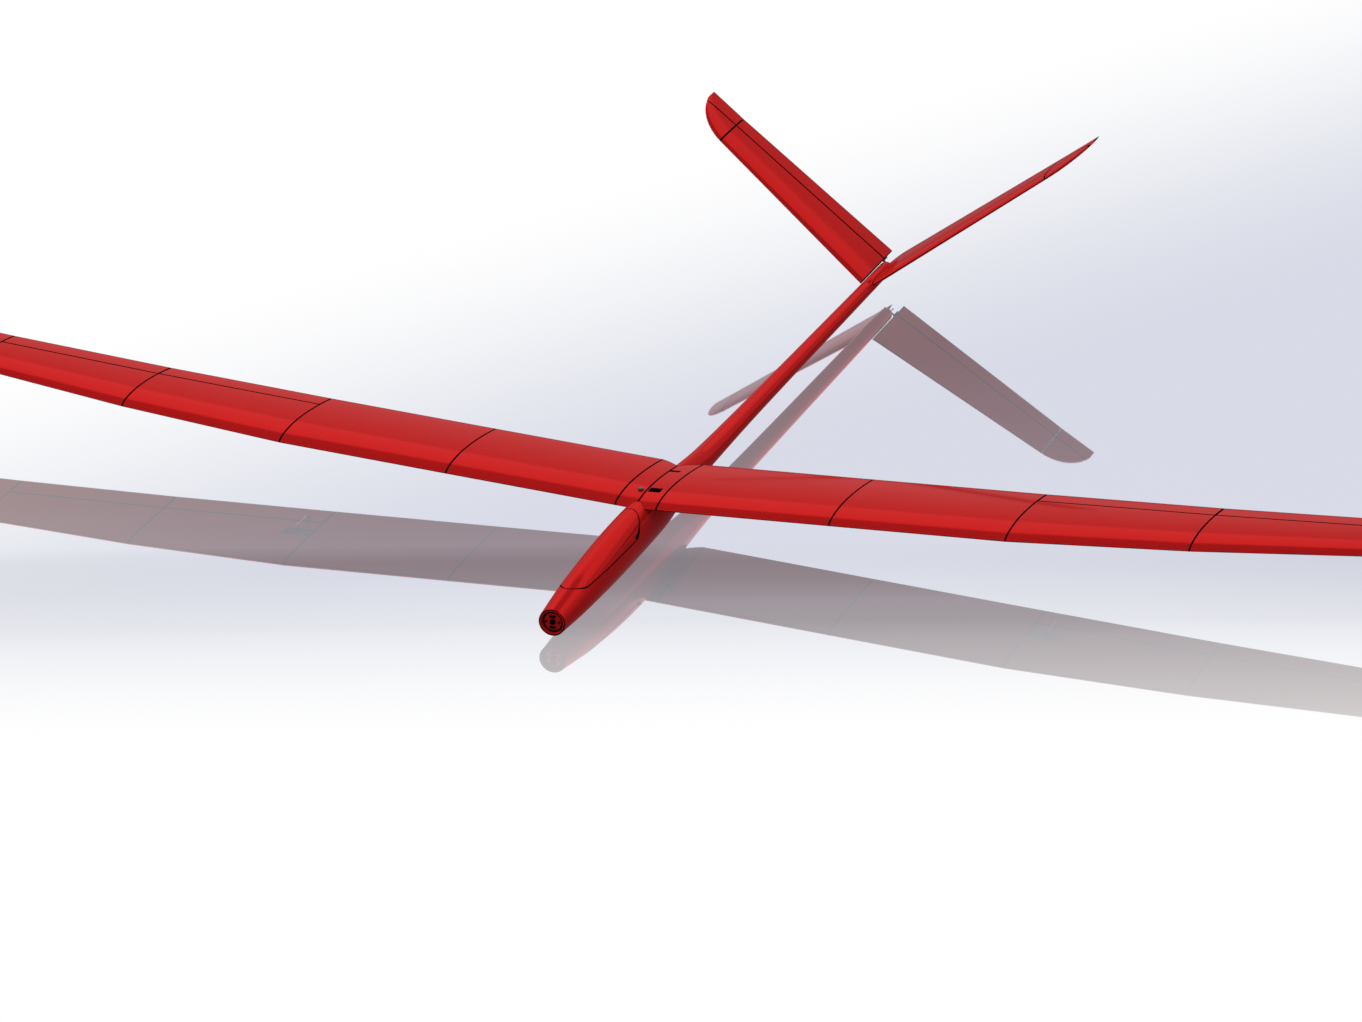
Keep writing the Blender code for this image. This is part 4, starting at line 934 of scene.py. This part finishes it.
def hole_tool(x, z, hole_radius, sides):
    marks = [(0.0, hole_radius), (reach, hole_radius)]
    return skin_tool(round_sections(place(x, ahead, z), AFT, marks, sides))


# The shaft hole, screw holes and slots keep the tools' black finish on their walls: painted shade in the
# holes.
carve(firewall, hole_tool(0, 0, SHAFT_HOLE_RADIUS, 48))
for x, z in BOLT_HOLES:
    carve(firewall, slot_tool(math.atan2(z, x), abs(z)) if z else hole_tool(x, z, SCREW_RADIUS, 24))
stand_for(firewall, "motor_firewall")

# %% [markdown]
# ## Wing centre
# The two halves of the centre meet on the middle line over the fuselage. The left one has a pocket for the
# plugs of the servo leads and a small pocket with a screw, the right one has a bolt. The middle gives up
# part of its trailing edge, where the boom comes through.

# %% Centre skins with their pockets
LEAD_POCKET = (2.5, 20.5, 352.5, 366.5, 20.0)
REAR_POCKET = (0.6, 15.6, 441.5, 450.0, 3.6)
POCKET_SKIN = 1.7
FRONT_BOLT = (-8.0, 355.0, 2.8)
REAR_BOLT = (8.0, 445.0, 1.8)


def pocket_tool(pocket):
    x0, x1, y0, y1, depth = pocket
    x, y = (x0 + x1) / 2, (y0 + y1) / 2
    top = skin_height(x, y, 1)
    bottom = max(top - depth, skin_height(x, y, -1) + POCKET_SKIN)
    # The pocket's walls take the black finish: painted shade inside the pocket.
    return block_tool(place(x0, y0, bottom), place(x1, y1, top + 5), DARK_LINES_AND_SHADE)


def bolt_tool(bolt):
    x, y, radius = bolt
    low, high = skin_height(x, y, -1) - 5, skin_height(x, y, 1) + 5
    marks = [(0.0, radius), (high - low, radius)]
    # The bolt hole's walls take the tool's black finish: painted shade in the hole.
    return skin_tool(round_sections(place(x, y, low), Vector((0, 0, 1)), marks, 32))


for side, word in SIDES.items():
    inner, outer = GAP / 2, JOINTS[0] - GAP / 2
    stations = [side * x for x in seam_rows(inner, outer, 6)]
    root = wing_skin(f"wing_centre_{word}", stations,
                     lambda x: section_outline(x, root_end(x), *wing_station(x)))
    if side == 1:
        carve(root, pocket_tool(LEAD_POCKET), smooth_angle=35.0)
        carve(root, pocket_tool(REAR_POCKET), smooth_angle=35.0)
        carve(root, bolt_tool(REAR_BOLT), smooth_angle=35.0)
    else:
        carve(root, bolt_tool(FRONT_BOLT), smooth_angle=35.0)
    stand_for(root, f"wing_root_{word}")

# %% [markdown]
# ## V tail
# Each fin is a thin symmetric section on a plane that leans out by 35 degrees and a half. Distances are
# kept in the fin's own frame, s out along the fin and n square to it, and turned into the frame last.

# %% Fin frame
FIN_ANGLE = math.radians(35.5)
FIN_APEX_Z = 10.0
FIN_ROOT_S, FIN_JOINT_S, FIN_TIP_S = 11.5, 313.0, 376.0
FIN_ROOT = (1278.5, 143.5)
FIN_JOINT = (1341.6, 101.4)
FIN_TIP_TE_Y = 1450.5
FIN_THICKNESS = 0.08
FIN_END_CHORD = 10.0
FIN_ROUNDING = 2.3
RUDDER_CHORDS = (42.0, 36.0)
RUDDER_WEDGE = math.radians(30.0)
FIN_TIP_MIN_WIDTH = 6.0
FIN_STEPS = 20
RUDDER_STEPS = 8


def fin_point(side, s, y, n):
    c, t = math.cos(FIN_ANGLE), math.sin(FIN_ANGLE)
    return side * (s * c - n * t), y, FIN_APEX_Z + s * t + n * c


def fin_station(s):
    """Leading edge, chord and hinge line of the fin at a distance along it."""
    t = (s - FIN_ROOT_S) / (FIN_JOINT_S - FIN_ROOT_S)
    root_end_y, joint_end_y = sum(FIN_ROOT), sum(FIN_JOINT)
    hinge = (root_end_y - RUDDER_CHORDS[0]) * (1 - t) + (joint_end_y - RUDDER_CHORDS[1]) * t
    if s <= FIN_JOINT_S:
        leading = FIN_ROOT[0] * (1 - t) + FIN_JOINT[0] * t
        return leading, root_end_y * (1 - t) + joint_end_y * t - leading, hinge
    out = (s - FIN_JOINT_S) / (FIN_TIP_S - FIN_JOINT_S)
    trailing = joint_end_y * (1 - out) + FIN_TIP_TE_Y * out
    chord = (FIN_JOINT[1] - FIN_END_CHORD * out) * math.sqrt(max(1 - out**FIN_ROUNDING, 0.0))
    return trailing - chord, chord, hinge


def fin_half(u, chord):
    return half_thickness(u, FIN_THICKNESS) * chord + u * TRAILING_EDGE / 2


def fin_ring(side, s, leading, chord, walk):
    return [place(*fin_point(side, s, leading + u * chord, face * fin_half(u, chord))) for u, face in walk]


def fin_outline(side, s):
    leading, chord, hinge = fin_station(s)
    end = (hinge - HINGE_GAP - leading) / chord
    band = min(SEAM_WIDTH / chord, end / 4)
    return fin_ring(side, s, leading, chord, walk_round(chord_steps(end, band, FIN_STEPS)))


def rudder_outline(side, s):
    leading, chord, hinge = fin_station(s)
    start = max((hinge - leading) / chord, 0.0)
    shoulder = start + fin_half(start, chord) * math.tan(RUDDER_WEDGE) / chord
    edge = 1.0 - min(EDGE_WIDTH / chord, (1.0 - shoulder) / 4)
    steps = [shoulder + (edge - shoulder) * k / RUDDER_STEPS for k in range(RUDDER_STEPS + 1)] + [1.0]
    walk = [(start, 0)] + [(u, 1) for u in steps] + [(u, -1) for u in reversed(steps)]
    return fin_ring(side, s, leading, chord, walk)


def fixed_tip_end():
    s = FIN_JOINT_S
    while fin_station(s)[0] < fin_station(s)[2] - FIN_TIP_MIN_WIDTH:
        s += 0.25
    return s


# %% Fins and ruddervators
FIN_ROWS = 8
FIN_TIP_ROWS = 14
RUDDER_TIP_SHARE = 0.97
RUDDER_TIP_END = FIN_JOINT_S + (FIN_TIP_S - FIN_JOINT_S) * RUDDER_TIP_SHARE
tip_shares = [math.sin(k / FIN_TIP_ROWS * math.pi / 2) for k in range(FIN_TIP_ROWS + 1)]


def tip_rows(start, end):
    return [start] + [start + SEAM_WIDTH + (end - start - SEAM_WIDTH) * share for share in tip_shares]


for side, word in SIDES.items():
    rows = seam_rows(FIN_ROOT_S, FIN_JOINT_S - GAP / 2, FIN_ROWS)
    fin = wing_skin(f"fin_skin_{word}", rows, lambda s: fin_outline(side, s), under=(0, 1))
    stand_for(fin, f"fin_{word}")
    rows = tip_rows(FIN_JOINT_S + GAP / 2, fixed_tip_end())
    fin_tip = wing_skin(f"fin_tip_cap_{word}", rows, lambda s: fin_outline(side, s), (True, False), (0, 1))
    stand_for(fin_tip, f"fin_tip_{word}")
    rows = seam_rows(FIN_ROOT_S, FIN_JOINT_S - GAP / 2, FIN_ROWS)
    rudder = control_skin(f"ruddervator_skin_{word}", rows, lambda s: rudder_outline(side, s), RUDDER_STEPS)
    stand_for(rudder, f"ruddervator_{word}")
    rows = tip_rows(FIN_JOINT_S + GAP / 2, RUDDER_TIP_END)
    rudder_tip = control_skin(f"ruddervator_tip_cap_{word}", rows, lambda s: rudder_outline(side, s),
                              RUDDER_STEPS, (True, False))
    stand_for(rudder_tip, f"ruddervator_tip_{word}")

# %% [markdown]
# ## Small parts
# Moulded and machined parts never have knife edges. Each small part starts from a merged copy of its CAD
# shape, whose flat faces are joined up again, and every sharp edge is then broken by a small round bevel.

# %% A copy with broken edges
FLAT_ANGLE = math.radians(2.0)
SHARP_ANGLE = math.radians(38.0)


def softened(node, name, finish, radius, segments=2):
    """Merged copy of a CAD node with small rounds on its sharp edges."""
    source = frame["nodes"][node]
    bm = bmesh.new()
    bm.from_mesh(source.data)
    bm.transform(source.matrix_world)
    bmesh.ops.remove_doubles(bm, verts=bm.verts, dist=0.01 * MM)
    bmesh.ops.dissolve_limit(bm, angle_limit=FLAT_ANGLE, verts=bm.verts, edges=bm.edges)
    sharp = [edge for edge in bm.edges
             if len(edge.link_faces) == 2 and edge.calc_face_angle() > SHARP_ANGLE]
    bmesh.ops.bevel(bm, geom=sharp, offset=radius * MM, offset_type="OFFSET", segments=segments,
                    profile=0.5, affect="EDGES", material=-1, clamp_overlap=True)
    return make_piece(name, bm, [finish], 40.0)


# %% Details that go on the cases
SCREW_HEAD = ((0.0, 1.0), (0.45, 1.0), (0.6, 0.85), (0.6, 0.5), (0.2, 0.45))    # height, share of radius


def add_block(piece, low, high, finish, radius=0.15):
    bm = new_mesh()
    block_mesh(bm, low, high, radius, 1)
    join_into(piece, make_piece("detail", bm, [finish]))


def add_screw(piece, at, along, head_radius, finish):
    """A domed screw head with a socket in its top."""
    marks = [(height, head_radius * share) for height, share in SCREW_HEAD]
    join_into(piece, skin_tool(round_sections(at, along, marks, 20), finish))


def lid_line(piece, low, high, x, thickness=0.35, proud=0.05):
    """A thin dark band in a plane square to X, a little larger than the box it is given."""
    swell = Vector((0, proud, proud)) * MM
    half = Vector((thickness / 2, 0, 0)) * MM
    add_block(piece, Vector((x, low.y, low.z)) - half - swell,
              Vector((x, high.y, high.z)) + half + swell, DARK_LINES_AND_SHADE, 0.0)


# %% [markdown]
# ## Servos
# A small servo is a case in three parts, held by four long screws, with the gears under the thinner lid on
# the arm's side. The screws tell which way it was put together. The bands at the joints of the case lie just
# under its faces, so that only its rounded edges show them.

# %% Servo cases
CASE_ROUND = 0.35
BAND_INSET = Vector((0, 0.1, 0.1)) * MM
BAND_SHARES = (-0.22, 0.16)         # of the case's length, from its middle towards the arm
SCREW_INSET_SHARES = (0.1, 0.14)    # of the case's size along Y and Z
SCREW_SINK, SCREW_HEAD_RADIUS = 0.5, 0.75
for side, word in SIDES.items():
    for job in ("wing", "tail"):
        node = f"{job}_servo_{word}"
        case = softened(node, f"{job}_servo_case_{word}", BLACK, CASE_ROUND)
        low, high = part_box(node)
        arm_low, arm_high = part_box(f"{job}_servo_arm_{word}")
        towards = 1 if (arm_low.x + arm_high.x) > (low.x + high.x) else -1
        size = high - low
        inset = Vector((0, size.y * SCREW_INSET_SHARES[0], size.z * SCREW_INSET_SHARES[1]))
        middle_x = (low.x + high.x) / 2
        for share in BAND_SHARES:
            lid_line(case, low + BAND_INSET, high - BAND_INSET, middle_x + towards * share * size.x)
        base_x = low.x if towards > 0 else high.x
        for y in (low.y + inset.y, high.y - inset.y):
            for z in (low.z + inset.z, high.z - inset.z):
                seat = Vector((base_x + towards * SCREW_SINK * MM, y, z))
                add_screw(case, seat, (-towards, 0, 0), SCREW_HEAD_RADIUS, STEEL)
        stand_for(case, node)

# %% [markdown]
# ## Radio and battery
# The receiver is a snap-together case with rows of pins at its back. The battery is three flat cells in
# a shrink sleeve, whose edges show as soft steps along the side, with a label band round the middle.

# %% Receiver
low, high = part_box("receiver")
RECEIVER_ROUND = 0.9
PIN_ROWS, PIN_COLUMNS = 3, 7
PIN_LENGTH = 1.0 * MM
LABEL_SIDE, LABEL_FRONT, LABEL_BACK = 4, 6, 9       # from the edges of the case
LABEL_SINK, LABEL_PROUD = 0.3, 0.02
receiver = softened("receiver", "receiver_case", BLACK, RECEIVER_ROUND, 3)
pitch = 2.54 * MM
pin = 0.32 * MM
for column in range(PIN_COLUMNS):
    x = (low.x + high.x) / 2 + (column - (PIN_COLUMNS - 1) / 2) * pitch
    for row in range(PIN_ROWS):
        z = (low.z + high.z) / 2 + (row - 1) * pitch
        add_block(receiver, (x - pin, high.y - PIN_LENGTH, z - pin), (x + pin, high.y, z + pin), BRASS, 0.0)
label_low = Vector((low.x + LABEL_SIDE * MM, low.y + LABEL_FRONT * MM, high.z - LABEL_SINK * MM))
label_high = Vector((high.x - LABEL_SIDE * MM, high.y - LABEL_BACK * MM, high.z + LABEL_PROUD * MM))
add_block(receiver, label_low, label_high, LABEL, 0.0)
stand_for(receiver, "receiver")

# %% Battery
low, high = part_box("battery_pack")
bm = new_mesh()
CELLS, CELL_ROUND = 3, 1.6
BAND_START_SHARE, BAND_PROUD = 0.28, 0.04
cell_height = (high.z - low.z) / CELLS
for cell in range(CELLS):
    bottom = low.z + cell * cell_height
    block_mesh(bm, (low.x, low.y, bottom), (high.x, high.y, bottom + cell_height), CELL_ROUND, 4)
battery = make_piece("battery_cells", bm, [WRAP], 40.0)
band = Vector((0, (high.y - low.y) * BAND_START_SHARE, 0))
swell = Vector((BAND_PROUD, 0, BAND_PROUD)) * MM
add_block(battery, low + band - swell, high - band + swell, LABEL, CELL_ROUND)
stand_for(battery, "battery_pack")

# %% [markdown]
# ## Everything else
# Arms, horns, the tray, the frames and the fittings keep their CAD shapes with broken edges. The finish
# follows the material that the record gives.

# %% The remaining parts
KINDS = {"carbon_tube": CARBON, "steel_wire": STEEL, "black_plastic": BLACK, "plywood": PLY,
         "battery_wrap": WRAP, "magnet": NICKEL, "red_shell": RED}
ROUNDS = {"arm": 0.22, "horn": 0.22, "pushrod": 0.12, "spar": 0.15, "joiner": 0.15, "bolt": 0.3,
          "tray": 0.35, "frame": 0.4, "saddle": 0.5, "magnet": 0.25, "mount": 0.4}
for name, node in frame["nodes"].items():
    if not node.hide_render:
        kind = next(kind for kind in ROUNDS if kind in name)
        piece = softened(name, f"{name}_finished", KINDS[SLOTS[name]], ROUNDS[kind])
        stand_for(piece, name)
